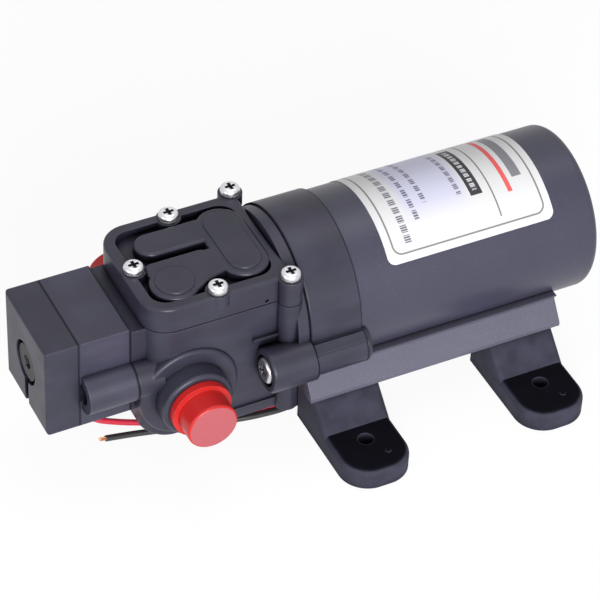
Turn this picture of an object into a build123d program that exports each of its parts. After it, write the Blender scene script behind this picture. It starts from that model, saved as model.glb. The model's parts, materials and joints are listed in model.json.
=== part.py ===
from build123d import *
import math
import os

# Caravan water pump, millimetres. The origin is the centre of the four foot
# holes on the floor. +X runs along the motor to its closed rear end, -X to the
# pressure switch, +Z is up. The motor shaft lies along X at axis_height.

# Whole pump
axis_height = 37.0
foot_pitch_x = 56.0
foot_pitch_y = 73.0
running_gap = 0.3
slide_fit = 0.1
press_fit = 0.02
overrun = 1.0

# Motor can
can_radius = 24.0
can_wall = 1.6
can_length = 76.0
can_edge_radius = 2.2
can_rear_reach = 23.0
can_inner_radius = can_radius - can_wall
can_rear_x = foot_pitch_x / 2 + can_rear_reach
can_front_x = can_rear_x - can_length

# Motor front housing
ring_step = 0.8
ring_length = 15.5
ring_wall = 3.2
shield_thickness = 3.0
spigot_length = 4.0
spigot_wall = 1.4
ring_radius = can_radius + ring_step
joint_x = can_front_x - ring_length
bearing_boss_wall = 2.2
lug_radius = 5.6
lug_reach = 17.4
lug_axis_y = can_radius
lug_axis_drop = 5.5
lug_end_radius = 1.6
lug_ridge_reach = 6.0
lug_ridge_width = 3.4
lug_ridge_angle = 32.0
lug_ridge_radius = 0.5

# Shaft, bearings and rear bush
shaft_radius = 2.5
journal_radius = 2.0
journal_end_x = -59.0
shaft_step_x = joint_x - shield_thickness
shaft_rear_x = can_rear_x - 3.6
front_race_outer_radius = 8.0
front_race_width = 5.0
cam_race_outer_radius = 8.0
cam_race_bore_radius = 4.0
cam_race_width = 5.0
race_thickness = 1.1
race_side_gap = 0.15
front_ball_count = 7
cam_ball_count = 9
cage_thickness = 0.5
cage_width = 3.4
bush_radius = 5.5
bush_length = 6.0
bush_cup_wall = 1.2

# Magnets and armature
magnet_thickness = 4.4
magnet_length = 42.0
magnet_arc_degrees = 128.0
magnet_glue_gap = 0.08
armature_gap = 0.7
core_length = 37.0
core_rear_gap = 15.0
core_slots = 8
slot_mouth = 1.8
slot_radius = 2.9
slot_land = 5.62
slot_fill_gap = 0.15
winding_overhang = 6.0
winding_inner_radius = 6.2
winding_edge_radius = 2.0
core_rear_x = can_rear_x - core_rear_gap
core_front_x = core_rear_x - core_length
core_radius = can_inner_radius - magnet_thickness - magnet_glue_gap - armature_gap
slot_depth_radius = core_radius - slot_land

# Commutator and brushes
commutator_radius = 6.5
commutator_length = 11.0
commutator_front_x = -30.6
commutator_segments = 8
segment_gap = 0.5
commutator_hub_radius = 4.4
brush_size = 5.0
holder_end_gap = 2.3
brush_contact_gap = 0.1
brush_x = -25.1
holder_wall = 0.6
holder_gap = 0.12
holder_cap = 0.8
holder_start_gap = 1.6
brush_spring_space = 4.2
brush_spring_radius = 1.8
brush_wire_radius = 0.22
brush_spring_turns = 4.5
card_thickness = 1.6
card_bore_radius = 8.6
card_gap = 0.15
brush_start = commutator_radius + brush_contact_gap
holder_end = ring_radius - ring_wall - holder_end_gap
brush_end = holder_end - brush_spring_space

# Eccentric drive
eccentric_offset = 0.8
cam_x = -53.6
cam_collar_radius = 5.0
cam_collar_width = 4.0
yoke_wall = 1.8
yoke_width = 6.0
yoke_arm_thickness = 2.2
yoke_arm_width = 8.0
yoke_arm_margin = 3.0
cam_z = axis_height - eccentric_offset
yoke_top_z = cam_z + cam_race_outer_radius + yoke_wall

# Chambers, diaphragm and pistons
head_half_width = 18.8
chamber_x = cam_x
chamber_y = 8.2
chamber_radius = 6.8
diaphragm_thickness = 1.2
diaphragm_hole_gap = 0.4
roll_radius = 0.65
roll_ring_radius = 5.7
piston_disc_radius = 3.9
piston_disc_thickness = 0.9
piston_waist_radius = 2.4
piston_screw_radius = 0.8
piston_screw_head_radius = 1.5
piston_screw_slot = 0.36
piston_screw_length = 4.6
diaphragm_z = yoke_top_z + 2 * eccentric_offset + running_gap
plate_z = diaphragm_z + diaphragm_thickness
piston_disc_z = plate_z + running_gap
piston_top_z = piston_disc_z + piston_disc_thickness
chamber_roof_z = piston_top_z + 2 * eccentric_offset + running_gap

# Valve plate, valves and gasket
plate_roof = 2.2
plate_margin = 1.2
plate_right_x = -45.8
plate_left_x = -80.0
plate_left_inset = 6.2
plate_right_inset = 2.1
plate_left_half_width = head_half_width - plate_left_inset
plate_right_half_width = head_half_width - plate_right_inset
plate_gap = 0.15
gasket_thickness = 0.5
valve_radius = 2.3
valve_thickness = 0.6
valve_stem_radius = 0.7
valve_stem_gap = 0.1
valve_seat_gap = 0.05
valve_shift_x = 3.1
inlet_lift = 0.5
valve_recess = valve_thickness + inlet_lift + 2 * valve_seat_gap
flow_hole_radius = 0.45
flow_hole_ring = 1.45
flow_hole_count = 4
inlet_turn_x = -62.6
inlet_turn_y = 7.0
inlet_slot_width = 1.4
inlet_slot_roof = 1.0
plenum_half_width = 10.8
plenum_inset = 0.35
plate_top_z = chamber_roof_z + plate_roof
gasket_top_z = plate_top_z + gasket_thickness
recess_left_x = chamber_x - chamber_radius - plate_margin

# Pump housing and head cover
head_left_x = -86.0
head_right_x = -44.0
head_corner_radius = 8.0
head_right_corner = 1.5
housing_bottom_drop = 25.0
seam_rise = 13.5
rim_rise = 3.4
rim_width = 3.2
cover_skin = 1.3
cover_edge_radius = 0.8
lobe_rise = 0.5
plateau_rise = 0.5
lobe_skin = 1.2
gate_mark_radius = 0.6
gate_mark_depth = 0.5
gate_mark_rise = 1.5
gate_mark_x = -51.5
lip_height = 3.4
lip_reach = 0.7
lip_left_x = -63.0
drive_cavity_half_width = 14.9
drive_cavity_left_x = -60.6
drive_cavity_floor_drop = 20.5
flange_step = 0.5
flange_radius = ring_radius - flange_step
flange_opening_radius = 14.9
seam_z = axis_height + seam_rise
housing_bottom_z = axis_height - housing_bottom_drop
moat_z = gasket_top_z + cover_skin
rim_z = moat_z + rim_rise - cover_edge_radius
lobe_z = rim_z + lobe_rise
plateau_z = lobe_z + plateau_rise

# Lobes of the cover
right_lobe_x = -53.3
right_lobe_gap = 1.1
right_lobe_length = 2 * (head_half_width - rim_width - right_lobe_gap)
right_lobe_width = 13.9
back_lobe_left_x = -78.8
back_lobe_y = 7.7
back_lobe_width = 9.2
front_lobe_left_x = -79.8
front_lobe_back_y = 0.6
front_lobe_right_x = -61.0
front_lobe_height = 8.5
front_lobe_corner = 2.4
front_lobe_circle_radius = 7.0
front_lobe_circle_y = -8.9
front_plateau_radius = 5.4
front_web_x = -66.2
front_web_y = -12.2
front_web_right_y = -9.6
front_web_low_x = -71.5
front_web_low_y = -15.0
front_web_corner = 1.2
lobe_edge_radius = 0.9
plateau_edge_radius = 0.4
plateau_inset = 2.1

# Cover screws, their bosses and the corner columns
screw_left_x = -82.5
screw_mid_x = -65.0
screw_mid_inset = 2.6
screw_mid_y = head_half_width - screw_mid_inset
screw_corner_x = -44.9
screw_corner_reach = 0.5
screw_corner_y = head_half_width + screw_corner_reach
column_radius = 3.4
screw_boss_radius = 3.5
cover_screw_radius = 1.5
cover_screw_head_radius = 2.85
cover_screw_head_height = 2.2
cover_screw_dome = 1.25
cover_screw_length = 15.0
recess_width = 1.0
recess_reach = 1.5
recess_depth = 1.2
thread_gap = 0.03

# Ports and galleries
port_x = -74.5
port_drop = 9.0
port_boss_radius = 14.5
port_boss_end_y = 20.0
port_collar_radius = 10.4
port_end_y = 25.8
port_bore_radius = 5.5
port_bore_inner_y = 4.0
port_edge_radius = 1.0
gallery_x = -74.4
gallery_y = 8.6
gallery_radius = 2.4
tap_y = 6.0
tap_radius = 1.2
port_z = axis_height - port_drop

# Port caps
cap_flange_radius = 8.7
cap_flange_thickness = 2.2
cap_grip_radius = 7.3
cap_grip_length = 7.0
cap_grip_edge = 0.8
cap_plug_length = 9.0
cap_wall = 1.4
cap_seat_gap = 0.1

# Motor screws and their bosses
motor_boss_radius = 6.6
motor_boss_left_x = -54.0
motor_screw_radius = 2.0
motor_screw_head_radius = 3.8
motor_screw_head_height = 2.4
motor_screw_depth = 9.0
motor_screw_sink = 1.7
motor_counterbore_radius = 4.7
motor_screw_seat_x = motor_boss_left_x + motor_screw_sink
motor_screw_z = axis_height - lug_axis_drop
boss_rib_left_x = -55.6
boss_rib_right_x = -46.9
boss_rib_reach = 1.2
boss_rib_thickness = 0.9
boss_rib_rise = 8.4

# Pressure switch
switch_flange_length = 3.7
switch_base_length = 14.8
switch_cap_length = 9.7
switch_half_width = 14.2
switch_top_rise = 14.6
switch_bottom_drop = 15.0
switch_edge_radius = 0.9
switch_flange_x = head_left_x - switch_flange_length
switch_seam_x = switch_flange_x - switch_base_length
switch_left_x = switch_seam_x - switch_cap_length
switch_flange_depth = 7.7
switch_pressure_radius = 9.5
switch_diaphragm_thickness = 1.2
switch_diaphragm_rim = 1.6
plunger_bore_radius = 6.6
plunger_disc_radius = 6.2
plunger_stem_radius = 3.2
plunger_disc_thickness = 1.4
plunger_length = 8.6
plunger_travel = 0.5
plunger_gap = 0.1
plunger_arm_width = 5.0
plunger_arm_thickness = 1.2
plunger_arm_drop = 11.6
switch_spring_radius = 3.4
switch_wire_radius = 0.45
switch_spring_turns = 3.5
adjuster_radius = 4.4
adjuster_length = 7.4
adjuster_head_radius = 5.4
adjuster_head_length = 1.6
adjuster_key_flats = 4.0
adjuster_key_depth = 3.0
adjuster_recess_radius = 6.6
adjuster_recess_depth = 2.4
adjuster_proud = 0.4
lead_notch_width = 2.6
lead_notch_depth = 1.3

# Screw tunnels beside the switch
tunnel_y = 14.6
tunnel_drop = 3.0
tunnel_radius = 6.0
tunnel_end_inset = 0.6
tunnel_cylinder_radius = 5.2
tunnel_cylinder_end_x = -72.0
tunnel_counterbore_radius = 3.3
tunnel_counterbore_depth = 8.0
switch_screw_radius = 1.6
switch_screw_head_radius = 3.0
switch_screw_head_height = 2.4
switch_screw_depth = 13.0

# Microswitch in the cap
microswitch_length = 6.6
microswitch_half_width = 6.4
microswitch_height = 6.4
microswitch_top_drop = 5.2
microswitch_button_radius = 0.9
microswitch_button_length = 2.4
microswitch_button_gap = 0.3
microswitch_button_inset = 0.4
terminal_thickness = 0.6
terminal_width = 2.2
terminal_length = 3.6
terminal_y = 3.8
terminal_rise = 0.8

# Base cradle
cradle_gap = 0.4
cradle_overhang = 11.4
cradle_low_x = joint_x + cradle_gap
cradle_high_x = foot_pitch_x / 2 + cradle_overhang
cradle_grip_angle = 57.6
wing_run = 5.6
wing_drop = 7.8
wing_lip = 1.2
saddle_thickness = 2.1
ledge_length = 19.4
ledge_drop = 1.4
ledge_inner_y = 20.2
pocket_half_length = 5.0
pocket_margin = 2.4
pocket_width = 4.4
pocket_depth = 2.6
pocket_gap = 0.12
can_seat_gap = 0.03

# Rubber feet
foot_width = 20.8
foot_inner_gap = 0.34
foot_top_length = 7.4
foot_slope_length = 9.3
foot_tip_margin = 13.0
foot_tip_y = foot_pitch_y / 2 + foot_tip_margin
foot_slab_height = 6.2
foot_hole_radius = 2.25
foot_edge_radius = 2.0
foot_toe_radius = 8.6
foot_side_radius = 1.6

# Label on the can
label_front_gap = 10.5
label_length = 52.2
label_low_angle = 36.7
label_span = 106.0
label_thickness = 0.15
label_gap = 0.02
label_corner_radius = 2.4

# Leads under the head
lead_radius = 0.9
lead_socket_gap = 0.05
lead_pitch = 2.1
grommet_x = -16.0
grommet_radius = 3.4
grommet_flange_radius = 4.2
grommet_drop = 1.6
lead_arc_share = 0.45


def cylinder_x(radius, x_low, x_high, y=0, z=axis_height):
    middle = Pos((x_low + x_high) / 2, y, z)
    return middle * Rot(0, 90, 0) * Cylinder(radius, x_high - x_low)


def cylinder_y(radius, y_low, y_high, x, z):
    middle = Pos(x, (y_low + y_high) / 2, z)
    return middle * Rot(90, 0, 0) * Cylinder(radius, y_high - y_low)


def cylinder_z(radius, z_low, z_high, x, y):
    return Pos(x, y, (z_low + z_high) / 2) * Cylinder(radius, z_high - z_low)


def block(x_low, x_high, y_low, y_high, z_low, z_high):
    middle = Pos((x_low + x_high) / 2, (y_low + y_high) / 2, (z_low + z_high) / 2)
    return middle * Box(x_high - x_low, y_high - y_low, z_high - z_low)


def ring_x(outer, inner, x_low, x_high, y=0, z=axis_height):
    body = cylinder_x(outer, x_low, x_high, y, z)
    return body - cylinder_x(inner, x_low - overrun, x_high + overrun, y, z)


def mirrored_y(shape):
    return mirror(shape, about=Plane.XZ)


def upright(face, z_low, z_high):
    return Pos(0, 0, z_low) * extrude(face, z_high - z_low)


def group(shapes):
    return Compound(children=list(shapes))


def save(name, shape):
    export_step(shape, os.path.join("parts", name + ".step"))


def coil_spring(start, direction, radius, wire_radius, length, turns):
    """A coil along direction, swept quarter turn by quarter turn on biarcs."""
    steps = round(turns * 4)
    rise = (length - 2 * wire_radius) / steps
    axis_plane = Plane(origin=start, z_dir=direction)

    def place(step):
        angle = step * math.pi / 2
        height = wire_radius + rise * step
        return axis_plane.from_local_coords(
            Vector(radius * math.cos(angle), radius * math.sin(angle), height)
        )

    def heading(step):
        angle = step * math.pi / 2
        slope = rise / (math.pi / 2)
        local = Vector(-radius * math.sin(angle), radius * math.cos(angle), slope).normalized()
        return (axis_plane.from_local_coords(local) - axis_plane.origin).normalized()

    edges = []
    for step in range(steps):
        first, last = place(step), place(step + 1)
        leaving, arriving = heading(step), heading(step + 1)
        chord = last - first
        along = chord.dot(leaving + arriving)
        spread = 2 * (1 - leaving.dot(arriving))
        reach = (math.sqrt(along**2 + spread * chord.dot(chord)) - along) / spread
        middle = (first + last + (leaving - arriving) * reach) / 2
        edges.append(TangentArc(first, middle, tangent=leaving))
        edges.append(TangentArc(last, middle, tangent=-arriving))
    path = Wire(edges)
    section = Plane(origin=place(0), z_dir=heading(0)) * Circle(wire_radius)
    return sweep(section, path=path)


# Motor


def make_motor_can():
    outer = cylinder_x(can_radius, can_front_x, can_rear_x)
    rear_edge = outer.edges().filter_by(GeomType.CIRCLE).sort_by(Axis.X)[-1]
    outer = fillet(rear_edge, can_edge_radius)
    inside = cylinder_x(can_inner_radius, can_front_x - overrun, can_rear_x - can_wall)
    cup = ring_x(
        bush_radius + bush_cup_wall,
        bush_radius + press_fit,
        can_rear_x - can_wall - bush_length,
        can_rear_x - can_wall,
    )
    hole = cylinder_z(grommet_radius, 0, axis_height - can_radius / 2, grommet_x, 0)
    return outer - inside + cup - hole


def make_rear_bush():
    low_x = can_rear_x - can_wall - bush_length
    return ring_x(bush_radius, shaft_radius + press_fit, low_x, low_x + bush_length)


def make_field_magnets():
    outer = can_inner_radius - magnet_glue_gap
    middle_x = (core_front_x + core_rear_x) / 2
    ring = ring_x(
        outer, outer - magnet_thickness, middle_x - magnet_length / 2, middle_x + magnet_length / 2
    )
    gap_half_angle = math.radians(90 - magnet_arc_degrees / 2)
    gap_half_width = outer * math.sin(gap_half_angle)
    gap = block(
        middle_x - magnet_length,
        middle_x + magnet_length,
        -gap_half_width,
        gap_half_width,
        axis_height - can_radius,
        axis_height + can_radius,
    )
    return ring - gap


def slot_places(count):
    return [360 / count * index for index in range(count)]


def turned_about_axis(shape, degrees):
    return Pos(0, 0, axis_height) * Rot(degrees, 0, 0) * Pos(0, 0, -axis_height) * shape


def make_armature_core():
    core = cylinder_x(core_radius, core_front_x, core_rear_x)
    core -= cylinder_x(shaft_radius + press_fit, core_front_x - overrun, core_rear_x + overrun)
    pocket = cylinder_x(
        slot_radius,
        core_front_x - overrun,
        core_rear_x + overrun,
        0,
        axis_height + slot_depth_radius,
    )
    mouth = block(
        core_front_x - overrun,
        core_rear_x + overrun,
        -slot_mouth / 2,
        slot_mouth / 2,
        axis_height + slot_depth_radius,
        axis_height + core_radius + overrun,
    )
    for degrees in slot_places(core_slots):
        core -= turned_about_axis(pocket + mouth, degrees)
    return core


def make_armature_winding():
    outer = core_radius - armature_gap
    ends = []
    for low_x in (core_front_x - winding_overhang, core_rear_x):
        bulge = ring_x(outer, winding_inner_radius, low_x, low_x + winding_overhang)
        edges = bulge.edges().filter_by(GeomType.CIRCLE).group_by(SortBy.RADIUS)[-1]
        ends.append(fillet(edges, winding_edge_radius))
    fill_radius = slot_radius - slot_fill_gap
    fill = cylinder_x(
        fill_radius, core_front_x, core_rear_x, 0, axis_height + slot_depth_radius
    )
    winding = ends[0] + ends[1]
    for degrees in slot_places(core_slots):
        winding += turned_about_axis(fill, degrees)
    return winding


def make_motor_shaft():
    journal = cylinder_x(journal_radius, journal_end_x, shaft_step_x)
    return journal + cylinder_x(shaft_radius, shaft_step_x, shaft_rear_x)


def make_commutator():
    rear_x = commutator_front_x + commutator_length
    ring = ring_x(commutator_radius, commutator_hub_radius, commutator_front_x, rear_x)
    slit = block(
        commutator_front_x - overrun,
        rear_x + overrun,
        -segment_gap / 2,
        segment_gap / 2,
        axis_height,
        axis_height + commutator_radius + overrun,
    )
    for degrees in slot_places(commutator_segments):
        ring -= turned_about_axis(slit, degrees)
    return ring


def make_commutator_hub():
    rear_x = commutator_front_x + commutator_length
    return ring_x(
        commutator_hub_radius - press_fit, shaft_radius + press_fit, commutator_front_x, rear_x
    )


def make_brush_top():
    brush = block(
        brush_x - brush_size / 2,
        brush_x + brush_size / 2,
        -brush_size / 2,
        brush_size / 2,
        axis_height + commutator_hub_radius,
        axis_height + brush_end,
    )
    return brush - cylinder_x(brush_start, brush_x - brush_size, brush_x + brush_size)


def below_axis(shape):
    return turned_about_axis(shape, 180)


def make_brush_spring_top():
    start = (brush_x, 0, axis_height + brush_end)
    return coil_spring(
        start,
        (0, 0, 1),
        brush_spring_radius,
        brush_wire_radius,
        brush_spring_space - holder_cap,
        brush_spring_turns,
    )


def make_brush_holders():
    inner = brush_size / 2 + holder_gap
    outer = inner + holder_wall
    tube = block(
        brush_x - outer,
        brush_x + outer,
        -outer,
        outer,
        axis_height + brush_start + holder_start_gap,
        axis_height + holder_end,
    )
    tube -= block(
        brush_x - inner,
        brush_x + inner,
        -inner,
        inner,
        axis_height,
        axis_height + holder_end - holder_cap,
    )
    return group([tube, below_axis(tube)])


def make_brush_card():
    card_rear_x = brush_x - brush_size / 2 - holder_gap - holder_wall
    return ring_x(
        ring_radius - ring_wall - card_gap, card_bore_radius, card_rear_x - card_thickness, card_rear_x
    )


def motor_screw_hole(x_low, x_high, radius):
    return cylinder_x(radius, x_low, x_high, -lug_axis_y, motor_screw_z)


def make_motor_front_housing():
    ring = ring_x(ring_radius, ring_radius - ring_wall, joint_x, can_front_x)
    shield = cylinder_x(ring_radius - ring_wall, joint_x, joint_x + shield_thickness)
    boss = cylinder_x(
        front_race_outer_radius + bearing_boss_wall, joint_x, joint_x + front_race_width + race_side_gap
    )
    spigot_outer = can_inner_radius - press_fit
    spigot = ring_x(
        spigot_outer, spigot_outer - spigot_wall, can_front_x - overrun, can_front_x + spigot_length
    )
    lug = cylinder_x(lug_radius, joint_x, joint_x + lug_reach, -lug_axis_y, motor_screw_z)
    lug = fillet(lug.edges().filter_by(GeomType.CIRCLE).sort_by(Axis.X)[-1], lug_end_radius)
    ridge = Box(lug_reach - lug_end_radius, lug_ridge_width, lug_ridge_reach)
    ridge = fillet(ridge.edges().filter_by(Axis.X), lug_ridge_radius)
    ridge_middle = Pos(joint_x + (lug_reach - lug_end_radius) / 2, -lug_axis_y, motor_screw_z)
    lug += ridge_middle * Rot(lug_ridge_angle, 0, 0) * Pos(0, 0, lug_ridge_reach / 2) * ridge
    lug -= cylinder_x(ring_radius - ring_wall / 2, joint_x, can_front_x)
    lug -= cylinder_x(can_radius + slide_fit, can_front_x, can_rear_x)
    housing = ring + shield + boss + spigot + lug + mirrored_y(lug)
    screw_hole = motor_screw_hole(
        joint_x - overrun, joint_x + motor_screw_depth, motor_screw_radius
    )
    housing = housing - screw_hole - mirrored_y(screw_hole)
    seat = cylinder_x(
        front_race_outer_radius + press_fit, joint_x + race_side_gap, joint_x + shield_thickness * 3
    )
    opening = cylinder_x(shaft_radius * 2, joint_x - overrun, joint_x + shield_thickness)
    return housing - seat - opening


# Ball bearings


def ball_circle_radius(bore_radius, outer_radius):
    return (bore_radius + outer_radius) / 2


def make_races(bore_radius, outer_radius, x_low, width, z):
    inner = ring_x(bore_radius + race_thickness, bore_radius + press_fit, x_low, x_low + width, 0, z)
    outer = ring_x(outer_radius - press_fit, outer_radius - race_thickness, x_low, x_low + width, 0, z)
    return inner, outer


def make_balls(bore_radius, outer_radius, x_middle, count, z):
    space = outer_radius - bore_radius - 2 * race_thickness
    radius = space / 2 - race_side_gap
    ring = ball_circle_radius(bore_radius, outer_radius)
    balls = []
    for degrees in slot_places(count):
        angle = math.radians(degrees)
        centre = Pos(x_middle, ring * math.sin(angle), z + ring * math.cos(angle))
        balls.append(centre * Sphere(radius))
    return balls


def make_cam_cage():
    ring = ball_circle_radius(cam_race_bore_radius, cam_race_outer_radius)
    low_x = cam_x - cage_width / 2
    cage = ring_x(
        ring + cage_thickness / 2, ring - cage_thickness / 2, low_x, low_x + cage_width, 0, cam_z
    )
    space = cam_race_outer_radius - cam_race_bore_radius - 2 * race_thickness
    for degrees in slot_places(cam_ball_count):
        angle = math.radians(degrees)
        out = Pos(cam_x, ring * math.sin(angle), cam_z + ring * math.cos(angle))
        short = Cylinder(space / 2, 2 * cage_thickness)
        cage -= out * Rot(-degrees, 0, 0) * short
    return cage


# Eccentric drive


def make_eccentric_cam():
    low_x = cam_x - cam_race_width / 2
    high_x = cam_x + cam_race_width / 2
    body = cylinder_x(cam_race_bore_radius, low_x, high_x, 0, cam_z)
    collar = cylinder_x(cam_collar_radius, high_x, high_x + cam_collar_width, 0, cam_z)
    bore = cylinder_x(journal_radius + press_fit, low_x - overrun, high_x + cam_collar_width + overrun)
    return body + collar - bore


def make_drive_yoke():
    low_x = cam_x - yoke_width / 2
    high_x = cam_x + yoke_width / 2
    half_arm = chamber_y + yoke_arm_margin
    ring = cylinder_x(cam_race_outer_radius + yoke_wall, low_x, high_x, 0, cam_z)
    arm = block(
        cam_x - yoke_arm_width / 2,
        cam_x + yoke_arm_width / 2,
        -half_arm,
        half_arm,
        yoke_top_z - yoke_arm_thickness,
        yoke_top_z,
    )
    yoke = ring + arm
    yoke -= cylinder_x(cam_race_outer_radius, low_x - overrun, high_x + overrun, 0, cam_z)
    for side in (-1, 1):
        yoke -= cylinder_z(
            piston_screw_radius + thread_gap,
            yoke_top_z - yoke_arm_thickness - overrun,
            yoke_top_z + overrun,
            chamber_x,
            side * chamber_y,
        )
    return yoke


def make_piston(side):
    y = side * chamber_y
    waist = cylinder_z(piston_waist_radius, yoke_top_z, piston_disc_z, chamber_x, y)
    disc = cylinder_z(piston_disc_radius, piston_disc_z, piston_top_z, chamber_x, y)
    piston = waist + disc
    piston -= cylinder_z(
        piston_screw_radius + thread_gap, yoke_top_z - overrun, piston_top_z, chamber_x, y
    )
    sink = piston_screw_head_radius - piston_screw_radius
    cone = Cone(piston_screw_radius, piston_screw_head_radius + thread_gap, sink)
    return piston - Pos(chamber_x, y, piston_top_z - sink / 2) * cone


def make_piston_screws():
    sink = piston_screw_head_radius - piston_screw_radius
    screws = []
    for side in (-1, 1):
        y = side * chamber_y
        head = Pos(chamber_x, y, piston_top_z - sink / 2) * Cone(
            piston_screw_radius, piston_screw_head_radius, sink
        )
        shank = cylinder_z(
            piston_screw_radius, piston_top_z - piston_screw_length, piston_top_z - sink, chamber_x, y
        )
        slot = block(
            chamber_x - piston_screw_head_radius,
            chamber_x + piston_screw_head_radius,
            y - piston_screw_slot / 2,
            y + piston_screw_slot / 2,
            piston_top_z - sink / 2,
            piston_top_z + overrun,
        )
        screws.append(head + shank - slot)
    return group(screws)


def make_diaphragm():
    sheet = block(
        recess_left_x + plate_gap,
        plate_right_x - plate_gap,
        -plate_right_half_width + plate_gap,
        plate_right_half_width - plate_gap,
        diaphragm_z,
        plate_z,
    )
    hole_radius = piston_waist_radius + eccentric_offset + diaphragm_hole_gap
    for side in (-1, 1):
        y = side * chamber_y
        roll = Pos(chamber_x, y, plate_z) * Torus(roll_ring_radius, roll_radius)
        above = cylinder_z(chamber_radius, plate_z - roll_radius, plate_z + overrun, chamber_x, y)
        sheet += roll & above
        sheet -= cylinder_z(hole_radius, diaphragm_z - overrun, plate_z + overrun, chamber_x, y)
    return sheet


# Valve plate and valves


def plate_outline(gap):
    right = Pos((recess_left_x + plate_right_x) / 2, 0) * Rectangle(
        plate_right_x - recess_left_x - 2 * gap, 2 * (plate_right_half_width - gap)
    )
    left = Pos((plate_left_x + plate_right_x) / 2, 0) * Rectangle(
        plate_right_x - plate_left_x - 2 * gap, 2 * (plate_left_half_width - gap)
    )
    return right + left


def valve_place(is_inlet, side):
    shift = valve_shift_x if is_inlet else -valve_shift_x
    return chamber_x + shift, side * chamber_y


def flow_places(x, y):
    places = []
    for index in range(flow_hole_count):
        angle = math.radians(360 / flow_hole_count * (index + 0.5))
        places.append((x + flow_hole_ring * math.cos(angle), y + flow_hole_ring * math.sin(angle)))
    return places


def make_valve_plate():
    plate = upright(plate_outline(plate_gap), plate_z, plate_top_z)
    inlet_roof_z = plate_top_z - inlet_slot_roof
    for side in (-1, 1):
        y = side * chamber_y
        plate -= cylinder_z(chamber_radius, plate_z - overrun, chamber_roof_z, chamber_x, y)
        plate -= cylinder_z(
            gallery_radius, plate_z - overrun, plate_top_z + overrun, gallery_x, side * gallery_y
        )
        for is_inlet in (True, False):
            x, valve_y = valve_place(is_inlet, side)
            if is_inlet:
                recess_radius = valve_radius + running_gap
                plate -= cylinder_z(
                    recess_radius, chamber_roof_z - overrun, chamber_roof_z + valve_recess, x, valve_y
                )
            stem_hole = valve_stem_radius + valve_stem_gap
            plate -= cylinder_z(
                stem_hole, chamber_roof_z - overrun, plate_top_z + overrun, x, valve_y
            )
            for hole_x, hole_y in flow_places(x, valve_y):
                plate -= cylinder_z(
                    flow_hole_radius, chamber_roof_z - overrun, plate_top_z + overrun, hole_x, hole_y
                )
    half = inlet_slot_width / 2
    inlet_x = chamber_x + valve_shift_x
    plate -= block(inlet_turn_x, inlet_x + half, -half, half, plate_z - overrun, inlet_roof_z)
    plate -= block(
        inlet_turn_x, inlet_turn_x + inlet_slot_width, -half, inlet_turn_y, plate_z - overrun, inlet_roof_z
    )
    plate -= cylinder_z(half, plate_z, plate_top_z + overrun, inlet_x, 0)
    plate -= cylinder_z(half, plate_z, plate_top_z + overrun, inlet_turn_x + half, inlet_turn_y - half)
    return plate


def make_valve(is_inlet, side):
    x, y = valve_place(is_inlet, side)
    if is_inlet:
        seat_z = chamber_roof_z + valve_recess - valve_seat_gap
        disc = cylinder_z(valve_radius, seat_z - valve_thickness, seat_z, x, y)
        stem = cylinder_z(valve_stem_radius, seat_z, plate_top_z - valve_seat_gap, x, y)
    else:
        seat_z = plate_top_z + valve_seat_gap
        disc = cylinder_z(valve_radius, seat_z, seat_z + valve_thickness, x, y)
        stem = cylinder_z(valve_stem_radius, chamber_roof_z + valve_seat_gap, seat_z, x, y)
    return disc + stem


def plenum_outline():
    """Plan of the outlet and inlet ways over the valve plate, cut from cover and gasket."""
    half_valve = valve_radius + plenum_inset
    outlet_x = chamber_x - valve_shift_x
    inlet_x = chamber_x + valve_shift_x
    chamber = Rot(0, 0, 90) * SlotOverall(2 * plenum_half_width, 2 * half_valve)
    outlet = Pos(outlet_x, 0) * chamber
    inlet = Pos(inlet_x, 0) * chamber
    way_low_x = gallery_x
    way_high_x = outlet_x
    front_way = Pos((way_low_x + way_high_x) / 2, -(gallery_y + front_lobe_back_y) / 2 - half_valve / 2)
    outlet_way = front_way * Rectangle(way_high_x - way_low_x, 2 * gallery_radius)
    back_high_x = inlet_turn_x + inlet_slot_width
    back_way = Pos((way_low_x + back_high_x) / 2, back_lobe_y) * Rectangle(
        back_high_x - way_low_x, 2 * gallery_radius
    )
    front_well = Pos(gallery_x, -gallery_y) * Circle(gallery_radius)
    back_well = Pos(gallery_x, gallery_y) * Circle(gallery_radius)
    return outlet + inlet + outlet_way + back_way + front_well + back_well


def make_cover_gasket():
    sheet = upright(plate_outline(plate_gap), plate_top_z, gasket_top_z)
    return sheet - upright(plenum_outline(), plate_top_z - overrun, gasket_top_z + overrun)


# Head cover


def head_outline():
    length = head_right_x - head_left_x
    plan = Pos((head_left_x + head_right_x) / 2, 0) * Rectangle(length, 2 * head_half_width)
    corners = plan.vertices().sort_by(Axis.X)
    plan = fillet(corners[:2], head_corner_radius)
    corners = plan.vertices().group_by(Axis.X)[-1]
    return fillet(corners, head_right_corner)


def screw_places():
    return [
        (screw_left_x, 0),
        (screw_mid_x, screw_mid_y),
        (screw_mid_x, -screw_mid_y),
        (screw_corner_x, screw_corner_y),
        (screw_corner_x, -screw_corner_y),
    ]


def screw_bosses(z_low, z_high):
    bosses = None
    for x, y in screw_places():
        post = cylinder_z(screw_boss_radius, z_low, z_high, x, y)
        bosses = post if bosses is None else bosses + post
    return bosses


def right_lobe_outline(inset):
    slot = SlotOverall(right_lobe_length - 2 * inset, right_lobe_width - 2 * inset)
    return Pos(right_lobe_x, 0) * Rot(0, 0, 90) * slot


def back_lobe_outline(inset):
    length = right_lobe_x - back_lobe_left_x
    middle_x = (back_lobe_left_x + right_lobe_x) / 2
    slot = SlotOverall(length - 2 * inset, back_lobe_width - 2 * inset)
    return Pos(middle_x, back_lobe_y) * slot


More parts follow.
